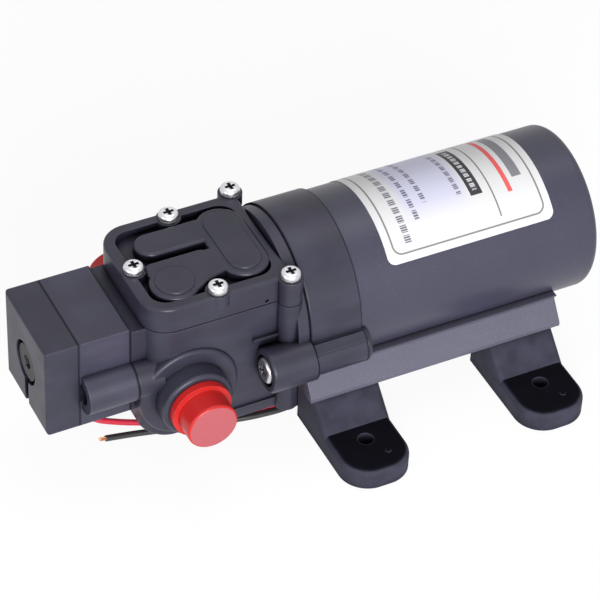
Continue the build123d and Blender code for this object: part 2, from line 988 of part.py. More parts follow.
def front_lobe_block():
    length = front_lobe_right_x - front_lobe_left_x
    middle_x = (front_lobe_left_x + front_lobe_right_x) / 2
    middle_y = front_lobe_back_y - front_lobe_height / 2
    return Pos(middle_x, middle_y) * RectangleRounded(length, front_lobe_height, front_lobe_corner)


def front_lobe_web():
    """Joins the front lobe to the right lobe and roofs the outlet way."""
    right_x = right_lobe_x - right_lobe_width / 2 + front_web_corner
    outline = [
        (front_web_low_x, 0),
        (front_web_low_x, front_web_low_y),
        (front_web_x, front_web_y),
        (right_x, front_web_right_y),
        (right_x, 0),
    ]
    face = make_face(Polyline(*outline, close=True))
    corner = face.vertices().sort_by_distance((front_web_x, front_web_y, 0))[0]
    return fillet(corner, front_web_corner)


def front_lobe_circle(radius):
    return Pos(gallery_x, front_lobe_circle_y) * Circle(radius)


def softened(solid, z, radius):
    edges = solid.edges().filter_by_position(Axis.Z, z - radius / 10, z + radius / 10)
    return fillet(edges, radius)


def raised_lobe(outline):
    return softened(upright(outline, moat_z - cover_skin / 2, lobe_z), lobe_z, lobe_edge_radius)


def plateau(outline):
    return softened(upright(outline, lobe_z - plateau_rise, plateau_z), plateau_z, plateau_edge_radius)


def make_head_cover():
    plan = head_outline()
    cover = upright(plan, seam_z, rim_z)
    cover = softened(cover, rim_z, cover_edge_radius)
    inner = Pos((head_left_x + head_right_x) / 2, 0) * RectangleRounded(
        head_right_x - head_left_x - 2 * rim_width,
        2 * (head_half_width - rim_width),
        head_corner_radius - rim_width,
    )
    cover -= upright(inner, moat_z, rim_z + overrun)
    cover += screw_bosses(moat_z - cover_skin, rim_z)
    for side in (-1, 1):
        cover += cylinder_z(column_radius, seam_z, rim_z, screw_corner_x, side * screw_corner_y)
    cover += raised_lobe(right_lobe_outline(0))
    cover += raised_lobe(back_lobe_outline(0))
    cover += raised_lobe(front_lobe_block())
    cover += raised_lobe(front_lobe_web())
    cover += raised_lobe(front_lobe_circle(front_lobe_circle_radius))
    cover += plateau(right_lobe_outline(plateau_inset))
    cover += plateau(front_lobe_circle(front_plateau_radius))
    cover -= upright(plate_outline(0), seam_z - overrun, gasket_top_z)
    cover -= upright(plenum_outline(), seam_z, lobe_z - lobe_skin)
    for x, y in screw_places():
        cover -= cylinder_z(cover_screw_radius + slide_fit, seam_z - overrun, rim_z + overrun, x, y)
    return cover - cylinder_y(
        gate_mark_radius,
        -head_half_width - overrun,
        -head_half_width + gate_mark_depth,
        gate_mark_x,
        seam_z + gate_mark_rise,
    )


def make_cover_screws():
    screws = []
    for x, y in screw_places():
        head = cylinder_z(
            cover_screw_head_radius, rim_z, rim_z + cover_screw_head_height, x, y
        )
        head = softened(head, rim_z + cover_screw_head_height, cover_screw_dome)
        shank = cylinder_z(cover_screw_radius, rim_z - cover_screw_length, rim_z, x, y)
        screw = head + shank
        top_z = rim_z + cover_screw_head_height
        half = recess_width / 2
        floor_z = top_z - recess_depth
        screw -= block(x - recess_reach, x + recess_reach, y - half, y + half, floor_z, top_z + overrun)
        screw -= block(x - half, x + half, y - recess_reach, y + recess_reach, floor_z, top_z + overrun)
        screws.append(screw)
    return group(screws)


# Pump housing


def make_port():
    boss = cylinder_y(port_boss_radius, -port_boss_end_y, 0, port_x, port_z)
    boss = fillet(boss.edges().filter_by(GeomType.CIRCLE).sort_by(Axis.Y)[0], port_edge_radius)
    collar = cylinder_y(port_collar_radius, -port_end_y, -port_boss_end_y, port_x, port_z)
    collar = fillet(collar.edges().filter_by(GeomType.CIRCLE).sort_by(Axis.Y)[0], port_edge_radius)
    return boss + collar


def make_tunnel_side():
    z = axis_height - tunnel_drop
    return cylinder_x(
        tunnel_cylinder_radius, switch_flange_x, tunnel_cylinder_end_x, -tunnel_y, z
    )


def make_switch_flange():
    flange = block(
        switch_flange_x,
        switch_flange_x + switch_flange_depth,
        -switch_half_width,
        switch_half_width,
        axis_height - switch_bottom_drop,
        seam_z,
    )
    z = axis_height - tunnel_drop
    tunnel = cylinder_x(
        tunnel_radius, switch_flange_x, switch_flange_x + switch_flange_depth, -tunnel_y, z
    )
    return flange + tunnel + mirrored_y(tunnel)


def make_motor_boss():
    boss = cylinder_x(motor_boss_radius, motor_boss_left_x, joint_x, -lug_axis_y, motor_screw_z)
    boss = fillet(boss.edges().filter_by(GeomType.CIRCLE).sort_by(Axis.X)[0], cover_edge_radius)
    rib_top_z = motor_screw_z + boss_rib_rise
    rib = block(
        boss_rib_left_x,
        boss_rib_right_x,
        -head_half_width - boss_rib_reach,
        -head_half_width + overrun,
        rib_top_z - boss_rib_thickness,
        rib_top_z,
    )
    return boss + rib


def make_pump_housing():
    body = upright(head_outline(), housing_bottom_z, seam_z)
    body = softened(body, housing_bottom_z, port_edge_radius)
    lip_length = head_right_x - lip_left_x
    lip = Pos((head_right_x + lip_left_x) / 2, 0) * Rectangle(
        lip_length, 2 * (head_half_width + lip_reach)
    )
    body += upright(lip, housing_bottom_z, housing_bottom_z + lip_height)
    body += cylinder_x(flange_radius, head_right_x, joint_x)
    for side in (-1, 1):
        y = side * screw_corner_y
        body += cylinder_z(column_radius, housing_bottom_z, seam_z, screw_corner_x, y)
        body -= cylinder_z(
            column_radius + slide_fit, seam_z, axis_height + can_radius * 2, screw_corner_x, y
        )
    body += make_switch_flange()
    for piece in (make_port(), make_tunnel_side(), make_motor_boss()):
        body += piece + mirrored_y(piece)
    body -= block(
        drive_cavity_left_x,
        head_right_x,
        -drive_cavity_half_width,
        drive_cavity_half_width,
        axis_height - drive_cavity_floor_drop,
        seam_z + overrun,
    )
    body -= cylinder_x(flange_opening_radius, head_right_x - overrun, joint_x + overrun)
    body -= upright(plate_outline(0), plate_z, seam_z + column_radius * 3)
    body -= block(
        recess_left_x,
        plate_right_x,
        -plate_right_half_width,
        plate_right_half_width,
        diaphragm_z,
        seam_z + overrun,
    )
    for side in (-1, 1):
        body -= cylinder_z(gallery_radius, port_z, plate_z + overrun, gallery_x, side * gallery_y)
    bore = cylinder_y(
        port_bore_radius, -port_end_y - overrun, -port_bore_inner_y, port_x, port_z
    )
    body -= bore
    body -= mirrored_y(bore)
    body -= cylinder_x(tap_radius, switch_flange_x - overrun, gallery_x, -tap_y)
    body -= cylinder_x(
        switch_pressure_radius, switch_flange_x - overrun, switch_flange_x + switch_diaphragm_rim
    )
    screw_hole = switch_screw_hole(switch_flange_x - overrun, switch_screw_end_x() + overrun)
    body -= screw_hole
    body -= mirrored_y(screw_hole)
    motor_hole = motor_screw_hole(
        motor_boss_left_x - overrun, joint_x + overrun, motor_screw_radius + slide_fit
    )
    counterbore = motor_screw_hole(
        motor_boss_left_x - overrun, motor_screw_seat_x, motor_counterbore_radius
    )
    for hole in (motor_hole, counterbore):
        body -= hole
        body -= mirrored_y(hole)
    for x, y in screw_places():
        body -= cylinder_z(
            cover_screw_radius + thread_gap,
            rim_z - cover_screw_length - overrun,
            seam_z + overrun,
            x,
            y,
        )
    return body


def make_motor_screws():
    end_x = joint_x + motor_screw_depth - overrun
    low_x = motor_screw_seat_x - motor_screw_head_height
    shank = motor_screw_hole(motor_screw_seat_x, end_x, motor_screw_radius - thread_gap)
    head = motor_screw_hole(low_x, motor_screw_seat_x, motor_screw_head_radius)
    head = fillet(head.edges().filter_by(GeomType.CIRCLE).sort_by(Axis.X)[0], cover_screw_dome)
    screw = head + shank
    reach = recess_reach * motor_screw_head_radius / cover_screw_head_radius
    half = recess_width / 2
    z = motor_screw_z
    for half_y, half_z in ((reach, half), (half, reach)):
        screw -= block(
            low_x - overrun,
            low_x + recess_depth,
            -lug_axis_y - half_y,
            -lug_axis_y + half_y,
            z - half_z,
            z + half_z,
        )
    return group([screw, mirrored_y(screw)])


def make_port_cap():
    flange_y = -port_end_y - cap_seat_gap
    flange = cylinder_y(
        cap_flange_radius, flange_y - cap_flange_thickness, flange_y, port_x, port_z
    )
    end_y = flange_y - cap_flange_thickness - cap_grip_length
    grip = cylinder_y(cap_grip_radius, end_y, flange_y, port_x, port_z)
    grip = fillet(grip.edges().filter_by(GeomType.CIRCLE).sort_by(Axis.Y)[0], cap_grip_edge)
    plug_radius = port_bore_radius - slide_fit
    plug = cylinder_y(plug_radius, flange_y, flange_y + cap_plug_length, port_x, port_z)
    hollow = cylinder_y(
        plug_radius - cap_wall, end_y + cap_wall, flange_y + cap_plug_length + overrun, port_x, port_z
    )
    return flange + grip + plug - hollow


# Pressure switch


def switch_screw_end_x():
    return switch_flange_x + switch_screw_depth


def switch_screw_hole(x_low, x_high):
    z = axis_height - tunnel_drop
    return cylinder_x(switch_screw_radius + thread_gap, x_low, x_high, -tunnel_y, z)


def switch_block(x_low, x_high):
    return block(
        x_low,
        x_high,
        -switch_half_width,
        switch_half_width,
        axis_height - switch_bottom_drop,
        axis_height + switch_top_rise,
    )


def microswitch_space():
    """The hollow shared by base and cap, below the spring."""
    half = microswitch_half_width + running_gap
    top_z = axis_height - microswitch_top_drop + running_gap
    arm_x = plunger_disc_x() + plunger_disc_thickness + running_gap
    return block(
        microswitch_x() - running_gap,
        arm_x + plunger_gap,
        -half,
        half,
        axis_height - microswitch_top_drop - microswitch_height - running_gap,
        top_z,
    )


def plunger_disc_x():
    return switch_flange_x - switch_diaphragm_thickness - plunger_length


def microswitch_x():
    """Left face of the microswitch, set by where its button meets the plunger's arm."""
    button_tip_x = plunger_disc_x() - microswitch_button_gap
    return button_tip_x - microswitch_button_length - microswitch_length


def make_switch_base():
    base = switch_block(switch_seam_x, switch_flange_x)
    tunnel_z = axis_height - tunnel_drop
    tunnel = cylinder_x(
        tunnel_radius, switch_seam_x + tunnel_end_inset, switch_flange_x, -tunnel_y, tunnel_z
    )
    base += tunnel + mirrored_y(tunnel)
    bore_x = plunger_disc_x() + plunger_disc_thickness + plunger_gap
    base -= cylinder_x(plunger_bore_radius, switch_seam_x - overrun, bore_x)
    base -= cylinder_x(plunger_stem_radius + slide_fit, bore_x - overrun, switch_flange_x)
    base -= cylinder_x(
        switch_pressure_radius, switch_flange_x - switch_diaphragm_thickness, switch_flange_x + overrun
    )
    base -= microswitch_space()
    counterbore_x = switch_seam_x + tunnel_counterbore_depth
    for hole in (
        switch_screw_hole(switch_seam_x - overrun, switch_flange_x + overrun),
        cylinder_x(
            tunnel_counterbore_radius, switch_seam_x - overrun, counterbore_x, -tunnel_y, tunnel_z
        ),
    ):
        base -= hole
        base -= mirrored_y(hole)
    for side in (-1, 1):
        base -= cylinder_z(
            lead_radius + lead_socket_gap,
            axis_height - switch_bottom_drop - overrun,
            lead_end_z() + lead_radius,
            lead_entry_x(),
            side * terminal_y,
        )
    return base


def make_switch_cap():
    cap = switch_block(switch_left_x, switch_seam_x)
    left_edges = cap.edges().group_by(Axis.X)[0]
    cap = fillet(left_edges, switch_edge_radius)
    cap -= cylinder_x(
        adjuster_recess_radius, switch_left_x - overrun, switch_left_x + adjuster_recess_depth
    )
    cap -= cylinder_x(
        adjuster_radius + slide_fit, switch_left_x, switch_seam_x + overrun
    )
    cap -= microswitch_space()
    cap -= block(
        switch_left_x - overrun,
        switch_left_x + lead_notch_depth,
        -lead_notch_width / 2,
        lead_notch_width / 2,
        axis_height - switch_bottom_drop - overrun,
        axis_height - adjuster_recess_radius + lead_notch_depth,
    )
    return cap


def make_switch_screws():
    z = axis_height - tunnel_drop
    head_x = switch_seam_x + tunnel_counterbore_depth
    head = cylinder_x(
        switch_screw_head_radius, head_x - switch_screw_head_height, head_x, -tunnel_y, z
    )
    shank = cylinder_x(switch_screw_radius, head_x, switch_screw_end_x(), -tunnel_y, z)
    screw = head + shank
    low_x = head_x - switch_screw_head_height
    half = recess_width / 2
    for half_y, half_z in ((recess_reach, half), (half, recess_reach)):
        screw -= block(
            low_x - overrun,
            low_x + recess_depth,
            -tunnel_y - half_y,
            -tunnel_y + half_y,
            z - half_z,
            z + half_z,
        )
    return group([screw, mirrored_y(screw)])


def make_switch_diaphragm():
    high_x = switch_flange_x
    return cylinder_x(
        switch_pressure_radius - slide_fit, high_x - switch_diaphragm_thickness + plunger_gap, high_x
    )


def make_switch_plunger():
    disc_x = plunger_disc_x()
    disc = cylinder_x(plunger_disc_radius, disc_x, disc_x + plunger_disc_thickness)
    stem = cylinder_x(plunger_stem_radius, disc_x, switch_flange_x - switch_diaphragm_thickness)
    arm = block(
        disc_x,
        disc_x + plunger_arm_thickness,
        -plunger_arm_width / 2,
        plunger_arm_width / 2,
        axis_height - plunger_arm_drop + terminal_rise * 3,
        axis_height,
    )
    return disc + stem + arm


def adjuster_end_x():
    return switch_left_x + adjuster_recess_depth - adjuster_proud + adjuster_length


def make_switch_spring():
    high_x = plunger_disc_x() - plunger_travel - plunger_gap
    return coil_spring(
        (adjuster_end_x(), 0, axis_height),
        (1, 0, 0),
        switch_spring_radius,
        switch_wire_radius,
        high_x - adjuster_end_x(),
        switch_spring_turns,
    )


def make_switch_adjuster():
    low_x = switch_left_x + adjuster_recess_depth - adjuster_proud - adjuster_head_length
    body = cylinder_x(adjuster_radius, low_x, adjuster_end_x())
    head = cylinder_x(
        adjuster_head_radius, low_x, switch_left_x + adjuster_recess_depth - slide_fit
    )
    key = Plane.YZ * RegularPolygon(adjuster_key_flats / 2, 6, major_radius=False)
    socket = Pos(low_x - overrun, 0, axis_height) * extrude(key, adjuster_key_depth + overrun)
    return body + head - socket


def make_microswitch():
    low_x = microswitch_x()
    top_z = axis_height - microswitch_top_drop
    body = block(
        low_x,
        low_x + microswitch_length,
        -microswitch_half_width,
        microswitch_half_width,
        top_z - microswitch_height,
        top_z,
    )
    hole = cylinder_x(
        microswitch_button_radius + slide_fit,
        low_x + microswitch_length - microswitch_button_length / 2,
        low_x + microswitch_length + overrun,
        0,
        button_z(),
    )
    return body - hole


def button_z():
    return axis_height - microswitch_top_drop - microswitch_button_radius * 2


def make_microswitch_button():
    high_x = plunger_disc_x() - microswitch_button_gap
    low_x = high_x - microswitch_button_length - microswitch_button_inset
    return cylinder_x(microswitch_button_radius, low_x, high_x, 0, button_z())


def terminal_z():
    return axis_height - microswitch_top_drop - microswitch_height + terminal_rise


def make_microswitch_terminals():
    low_x = microswitch_x() + microswitch_length
    tabs = []
    for side in (-1, 1):
        y = side * terminal_y
        tabs.append(
            block(
                low_x,
                low_x + terminal_length,
                y - terminal_width / 2,
                y + terminal_width / 2,
                terminal_z(),
                terminal_z() + terminal_thickness,
            )
        )
    return group(tabs)


# Base, feet and label


def make_base_cradle():
    angle = math.radians(270 - cradle_grip_angle)
    grip_y = can_radius * math.cos(angle)
    grip_z = axis_height + can_radius * math.sin(angle)
    wing_y = grip_y - wing_run
    wing_z = grip_z - wing_drop
    bottom_z = wing_z - wing_lip
    half_section = [
        (0, grip_z),
        (grip_y, grip_z),
        (wing_y, wing_z),
        (wing_y, bottom_z),
        (0, bottom_z),
    ]
    wing = Plane.YZ * make_face(Polyline(*half_section, close=True))
    wings = Pos(cradle_low_x, 0, 0) * extrude(wing, cradle_high_x - cradle_low_x)
    saddle = cylinder_x(can_radius + saddle_thickness, cradle_low_x, cradle_high_x)
    saddle -= block(
        cradle_low_x - overrun,
        cradle_high_x + overrun,
        -can_radius * 2,
        can_radius * 2,
        grip_z,
        axis_height + can_radius * 2,
    )
    cradle = wings + mirrored_y(wings) + saddle
    cradle -= cylinder_x(can_radius + can_seat_gap, can_front_x, cradle_high_x + overrun)
    cradle -= cylinder_x(ring_radius + slide_fit, cradle_low_x - overrun, can_front_x)
    ledge = block(
        cradle_low_x - overrun,
        cradle_low_x + ledge_length,
        grip_y - wing_run,
        -ledge_inner_y,
        grip_z - ledge_drop,
        grip_z + overrun,
    )
    cradle -= ledge
    cradle -= mirrored_y(ledge)
    for foot_x in (-foot_pitch_x / 2, foot_pitch_x / 2):
        pocket = block(
            foot_x - pocket_half_length,
            foot_x + pocket_half_length,
            -pocket_inner_y() - pocket_width,
            -pocket_inner_y(),
            bottom_z - overrun,
            bottom_z + pocket_depth,
        )
        cradle -= pocket
        cradle -= mirrored_y(pocket)
    cradle -= cylinder_z(grommet_radius, 0, axis_height - can_inner_radius, grommet_x, 0)
    return cradle


def cradle_bottom_z():
    angle = math.radians(cradle_grip_angle)
    return axis_height - can_radius * math.cos(angle) - wing_drop - wing_lip


def foot_inner_y():
    """Where the saddle's underside rises past the top of the foot."""
    drop = axis_height - cradle_bottom_z()
    return math.sqrt((can_radius + saddle_thickness) ** 2 - drop**2) + foot_inner_gap


def pocket_inner_y():
    return foot_inner_y() + pocket_margin


def make_foot(x_side, y_side):
    top_z = cradle_bottom_z()
    inner_y = foot_inner_y()
    shoulder_y = inner_y + foot_top_length + foot_slope_length
    side_view = [
        (-inner_y, foot_slab_height / 2),
        (-inner_y, top_z),
        (-inner_y - foot_top_length, top_z),
        (-shoulder_y, foot_slab_height),
        (-shoulder_y, foot_slab_height / 2),
    ]
    profile = Plane.YZ * make_face(Polyline(*side_view, close=True))
    upper = Pos(-foot_width / 2, 0, 0) * extrude(profile, foot_width)
    slope_y = -inner_y - foot_top_length - foot_slope_length / 2
    sides = [edge for edge in upper.edges() if abs(edge.center().Y - slope_y) < running_gap]
    sides = [edge for edge in sides if abs(edge.tangent_at(0).X) < slide_fit]
    upper = fillet(sides, foot_side_radius)
    plan = Pos(0, -(foot_tip_y + inner_y) / 2) * Rectangle(foot_width, foot_tip_y - inner_y)
    plan = fillet(plan.vertices().sort_by(Axis.Y)[:2], foot_toe_radius)
    slab = upright(plan, 0, foot_slab_height)
    top_edges = slab.edges().filter_by_position(Axis.Z, foot_slab_height, foot_slab_height)
    outer_edges = top_edges.sort_by(Axis.Y)[:-1]
    slab = fillet(outer_edges, foot_edge_radius)
    peg = block(
        -pocket_half_length + pocket_gap,
        pocket_half_length - pocket_gap,
        -pocket_inner_y() - pocket_width + pocket_gap,
        -pocket_inner_y() - pocket_gap,
        top_z - overrun,
        top_z + pocket_depth - pocket_gap,
    )
    foot = upper + slab + peg
    foot -= cylinder_z(foot_hole_radius, -overrun, foot_slab_height + overrun, 0, -foot_pitch_y / 2)
    if y_side > 0:
        foot = mirrored_y(foot)
    return Pos(x_side * foot_pitch_x / 2, 0, 0) * foot


def make_label():
    inner = can_radius + label_gap
    low_x = can_front_x + label_front_gap
    sheet = ring_x(inner + label_thickness, inner, low_x, low_x + label_length)
    reach = 2 * can_radius
    start = math.radians(180 - label_low_angle)
    end = math.radians(180 - label_low_angle - label_span)
    wedge = [
        (0, axis_height),
        (reach * math.cos(start), axis_height + reach * math.sin(start)),
        (0, axis_height + reach * 2),
        (reach * math.cos(end), axis_height + reach * math.sin(end)),
    ]
    face = Plane.YZ * make_face(Polyline(*wedge, close=True))
    keep = Pos(low_x - overrun, 0, 0) * extrude(face, label_length + 2 * overrun)
    label = sheet & keep
    corners = label.edges().filter_by(lambda edge: edge.length < label_thickness * 1.1)
    return fillet(corners, label_corner_radius)


# Leads


def lead_entry_x():
    return microswitch_x() + microswitch_length + terminal_length / 2


def lead_end_z():
    return terminal_z() - lead_socket_gap


def lead_radii(points):
    """The largest tangent arcs that neighbouring runs allow."""
    radii = []
    for before, corner, after in zip(points, points[1:], points[2:]):
        arriving = Vector(*corner) - Vector(*before)
        leaving = Vector(*after) - Vector(*corner)
        turn = math.radians(arriving.get_angle(leaving))
        shorter = min(arriving.length, leaving.length)
        radii.append(lead_arc_share * shorter / math.tan(turn / 2))
    return radii


def make_lead(name, points):
    radii = lead_radii(points)
    print(name, "lead radii", [round(radius, 1) for radius in radii])
    path = FilletPolyline(*points, radius=radii)
    start = Vector(*points[0])
    direction = Vector(*points[1]) - start
    section = Plane(origin=start, z_dir=direction) * Circle(lead_radius)
    lead = sweep(section, path=path)
    expected = math.pi * lead_radius**2 * path.length
    print(name, "lead volume share", round(lead.volume / expected, 4))
    return lead


def grommet_bottom_z():
    return axis_height - can_radius - saddle_thickness - grommet_drop


def lead_points(lane):
    """Route from the grommet under the motor, along the floor side of the head."""
    shift = lane * lead_pitch
    return [
        (grommet_x, shift, axis_height - can_inner_radius),
        (grommet_x, shift, 8.2),
        (-17.8, shift - 0.8, 4.9),
        (-21.6, shift - 3.0, 2.9),
        (-29.0, shift - 7.6, 2.3),
        (-40.5, shift - 11.0, 2.4),
        (-54.0, shift - 10.5, 3.1),
        (-66.0, shift - 8.0, 3.9),
    ]


def red_lead_points(lane):
    end_y = -terminal_y if lane == 0 else terminal_y
    bend_y = end_y - 0.6
    return lead_points(lane) + [
        (-78.0, bend_y - 1.4, 4.9),
        (-88.0, bend_y, 7.8),
        (-95.0, end_y - 0.2, 11.0),
        (-98.9, end_y, 14.6),
        (lead_entry_x(), end_y, 18.8),
        (lead_entry_x(), end_y, lead_end_z()),
    ]


def black_lead_points():
    return lead_points(-1) + [
        (-77.0, -8.6, 4.2),
        (-86.0, -8.0, 5.8),
        (-94.5, -7.8, 7.2),
    ]


def make_lead_grommet():
    bottom_z = grommet_bottom_z()
    top_z = axis_height - can_inner_radius
    body = cylinder_z(grommet_radius - press_fit, bottom_z, top_z, grommet_x, 0)
    rim_top_z = axis_height - can_radius - saddle_thickness
    grommet = body + cylinder_z(
        grommet_flange_radius, bottom_z, rim_top_z - slide_fit, grommet_x, 0
    )
    for lane in (-1, 0, 1):
        grommet -= cylinder_z(
            lead_radius + lead_socket_gap,
            bottom_z - overrun,
            top_z + overrun,
            grommet_x,
            lane * lead_pitch,
        )
    return grommet


def build_parts():
    os.makedirs("parts", exist_ok=True)
    save("motor_can", make_motor_can())
    save("rear_bush", make_rear_bush())
    save("field_magnets", make_field_magnets())
    save("armature_core", make_armature_core())
    save("armature_winding", make_armature_winding())
    save("motor_shaft", make_motor_shaft())
    save("commutator", make_commutator())
    save("commutator_hub", make_commutator_hub())
    save("brush_top", make_brush_top())
    save("brush_bottom", below_axis(make_brush_top()))
    save("brush_spring_top", make_brush_spring_top())
    save("brush_spring_bottom", below_axis(make_brush_spring_top()))
    save("brush_holders", make_brush_holders())
    save("brush_card", make_brush_card())
    save("motor_front_housing", make_motor_front_housing())
    front_inner, front_outer = make_races(
        shaft_radius, front_race_outer_radius, joint_x + race_side_gap, front_race_width, axis_height
    )
    save("front_bearing_inner_ring", front_inner)
    save("front_bearing_outer_ring", front_outer)
    front_middle = joint_x + race_side_gap + front_race_width / 2
    front_balls = make_balls(
        shaft_radius, front_race_outer_radius, front_middle, front_ball_count, axis_height
    )
    save("front_bearing_balls", group(front_balls))
    cam_low_x = cam_x - cam_race_width / 2
    cam_inner, cam_outer = make_races(
        cam_race_bore_radius, cam_race_outer_radius, cam_low_x, cam_race_width, cam_z
    )
    save("cam_bearing_inner_ring", cam_inner)
    save("cam_bearing_outer_ring", cam_outer)
    cam_balls = make_balls(cam_race_bore_radius, cam_race_outer_radius, cam_x, cam_ball_count, cam_z)
    save("cam_bearing_balls", group(cam_balls))
    save("cam_bearing_cage", make_cam_cage())
    save("eccentric_cam", make_eccentric_cam())
    save("drive_yoke", make_drive_yoke())
    save("piston_front", make_piston(-1))
    save("piston_back", make_piston(1))
    save("piston_screws", make_piston_screws())
    save("diaphragm", make_diaphragm())
    save("valve_plate", make_valve_plate())
    save("inlet_valve_front", make_valve(True, -1))
    save("inlet_valve_back", make_valve(True, 1))
    save("outlet_valve_front", make_valve(False, -1))
    save("outlet_valve_back", make_valve(False, 1))
    save("cover_gasket", make_cover_gasket())
    save("head_cover", make_head_cover())
    save("cover_screws", make_cover_screws())
    save("pump_housing", make_pump_housing())
    save("motor_screws", make_motor_screws())
    save("port_cap_front", make_port_cap())
    save("port_cap_back", mirrored_y(make_port_cap()))
    save("switch_base", make_switch_base())
    save("switch_cap", make_switch_cap())
    save("switch_screws", make_switch_screws())
    save("switch_diaphragm", make_switch_diaphragm())
    save("switch_plunger", make_switch_plunger())
    save("switch_spring", make_switch_spring())
    save("switch_adjuster", make_switch_adjuster())
    save("microswitch", make_microswitch())
    save("microswitch_button", make_microswitch_button())
    save("microswitch_terminals", make_microswitch_terminals())
    save("base_cradle", make_base_cradle())
    for side_name, y_side in (("front", -1), ("back", 1)):
        for end_name, x_side in (("pump", -1), ("motor", 1)):
            save("foot_" + side_name + "_" + end_name, make_foot(x_side, y_side))
    save("label", make_label())
    save("red_lead_front", make_lead("red_lead_front", red_lead_points(0)))
    save("red_lead_back", make_lead("red_lead_back", red_lead_points(1)))
    save("black_lead", make_lead("black_lead", black_lead_points()))
    save("lead_grommet", make_lead_grommet())


build_parts()
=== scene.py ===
"""Looks of a caravan water pump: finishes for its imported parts, a few small pieces and a plain stage."""

import json
import math

import bmesh
import bpy
import numpy as np
from bpy.props import FloatProperty, FloatVectorProperty, IntProperty, PointerProperty
from mathutils import Matrix, Vector


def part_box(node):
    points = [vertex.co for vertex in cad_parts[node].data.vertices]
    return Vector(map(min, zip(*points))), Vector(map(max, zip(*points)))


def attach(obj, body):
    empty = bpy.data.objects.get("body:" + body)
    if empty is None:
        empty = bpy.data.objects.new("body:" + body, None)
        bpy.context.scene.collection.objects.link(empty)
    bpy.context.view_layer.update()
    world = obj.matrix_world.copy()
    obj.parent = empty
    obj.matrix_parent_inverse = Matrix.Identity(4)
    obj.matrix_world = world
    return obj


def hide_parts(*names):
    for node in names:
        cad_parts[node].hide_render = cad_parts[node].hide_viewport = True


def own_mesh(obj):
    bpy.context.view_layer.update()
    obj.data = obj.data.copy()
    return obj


bl_info = {
    "name": "Caravan Water Pump Looks",
    "version": (1, 0, 0),
    "blender": (4, 5, 0),
    "location": "3D View > Sidebar > Pump",
    "description": "Finishes the parts of a caravan water pump and sets its stage",
    "category": "Object",
}

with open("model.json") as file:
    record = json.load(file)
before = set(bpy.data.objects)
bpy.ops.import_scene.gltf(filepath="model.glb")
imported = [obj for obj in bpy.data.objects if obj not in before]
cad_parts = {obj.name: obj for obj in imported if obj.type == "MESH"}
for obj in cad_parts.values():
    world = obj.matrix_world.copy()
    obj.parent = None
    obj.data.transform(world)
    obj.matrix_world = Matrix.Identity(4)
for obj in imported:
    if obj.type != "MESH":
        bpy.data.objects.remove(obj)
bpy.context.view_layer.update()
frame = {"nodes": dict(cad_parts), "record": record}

MM = 0.001
can_low, can_high = (Vector(corner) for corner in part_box("motor_can"))
label_low, label_high = (Vector(corner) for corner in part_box("label"))
switch_low, switch_high = (Vector(corner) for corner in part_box("switch_base"))
cover_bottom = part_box("head_cover")[0][2]
housing_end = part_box("pump_housing")[1][0]
ring_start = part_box("motor_front_housing")[0][0]
cap_tip = abs(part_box("port_cap_front")[0][1])
axis_z = (can_low.z + can_high.z) / 2
can_radius = (can_high.z - can_low.z) / 2

# The dull near-black of painted shade in deep corners and on the rubber slab's top, and of dark seams
SHADE_AND_SEAM_BLACK = (0.003, 0.003, 0.0045)
# Corners narrower than this are darkened with painted shade, and two mouldings meet in a dark line this
# wide
HOLLOW_REACH = 6 * MM
SEAM_WIDTH = 0.45 * MM
# How far the painted shade on the rubber slab's top fades out above the slab's own height
SLAB_FADE_START = 0.4 * MM
SLAB_FADE_END = 1.4 * MM
# The painted light on a port cap's flat end starts and is whole this far in from the cap's tip
END_LIGHT_START = 1.2 * MM
END_LIGHT_END = 0.4 * MM
# The label's two edges round the can, from the near side over the top
LABEL_START_ANGLE = math.radians(36.7)
LABEL_END_ANGLE = math.radians(142.7)
# The screw hole of a foot lies this far in from the foot's tip, and the pip beside it
TOE_MARGIN = 13.0 * MM
PIP_TOWARD_TOE = 6.5 * MM
PIP_ACROSS = 3.7 * MM
# The black lead's cut end, a point on the lead before it, and the bare length
LEAD_END = np.array([-94.5, -7.8, 7.2]) * MM
LEAD_BEFORE = np.array([-86.0, -8.0, 5.8]) * MM
BARE_LENGTH = 2.6 * MM
STRAND_SUNK = 0.6 * MM
# The white surround as it lights the object, and the share of the floor seen as plain white
SURROUND_LIGHT = 0.32
FLOOR_WHITE_SHARE = 0.9
FLOOR_HALF = 1.5
# The camera's azimuth, elevation and roll in degrees, its target and its distance
CAMERA_ANGLES = (-27.983, 42.042, 2.788)
CAMERA_TARGET = Vector((-31.5, 0.0, 29.46)) * MM
CAMERA_DISTANCE = 811.7 * MM
CAMERA_LENS = 173.1


# Sizes and colours


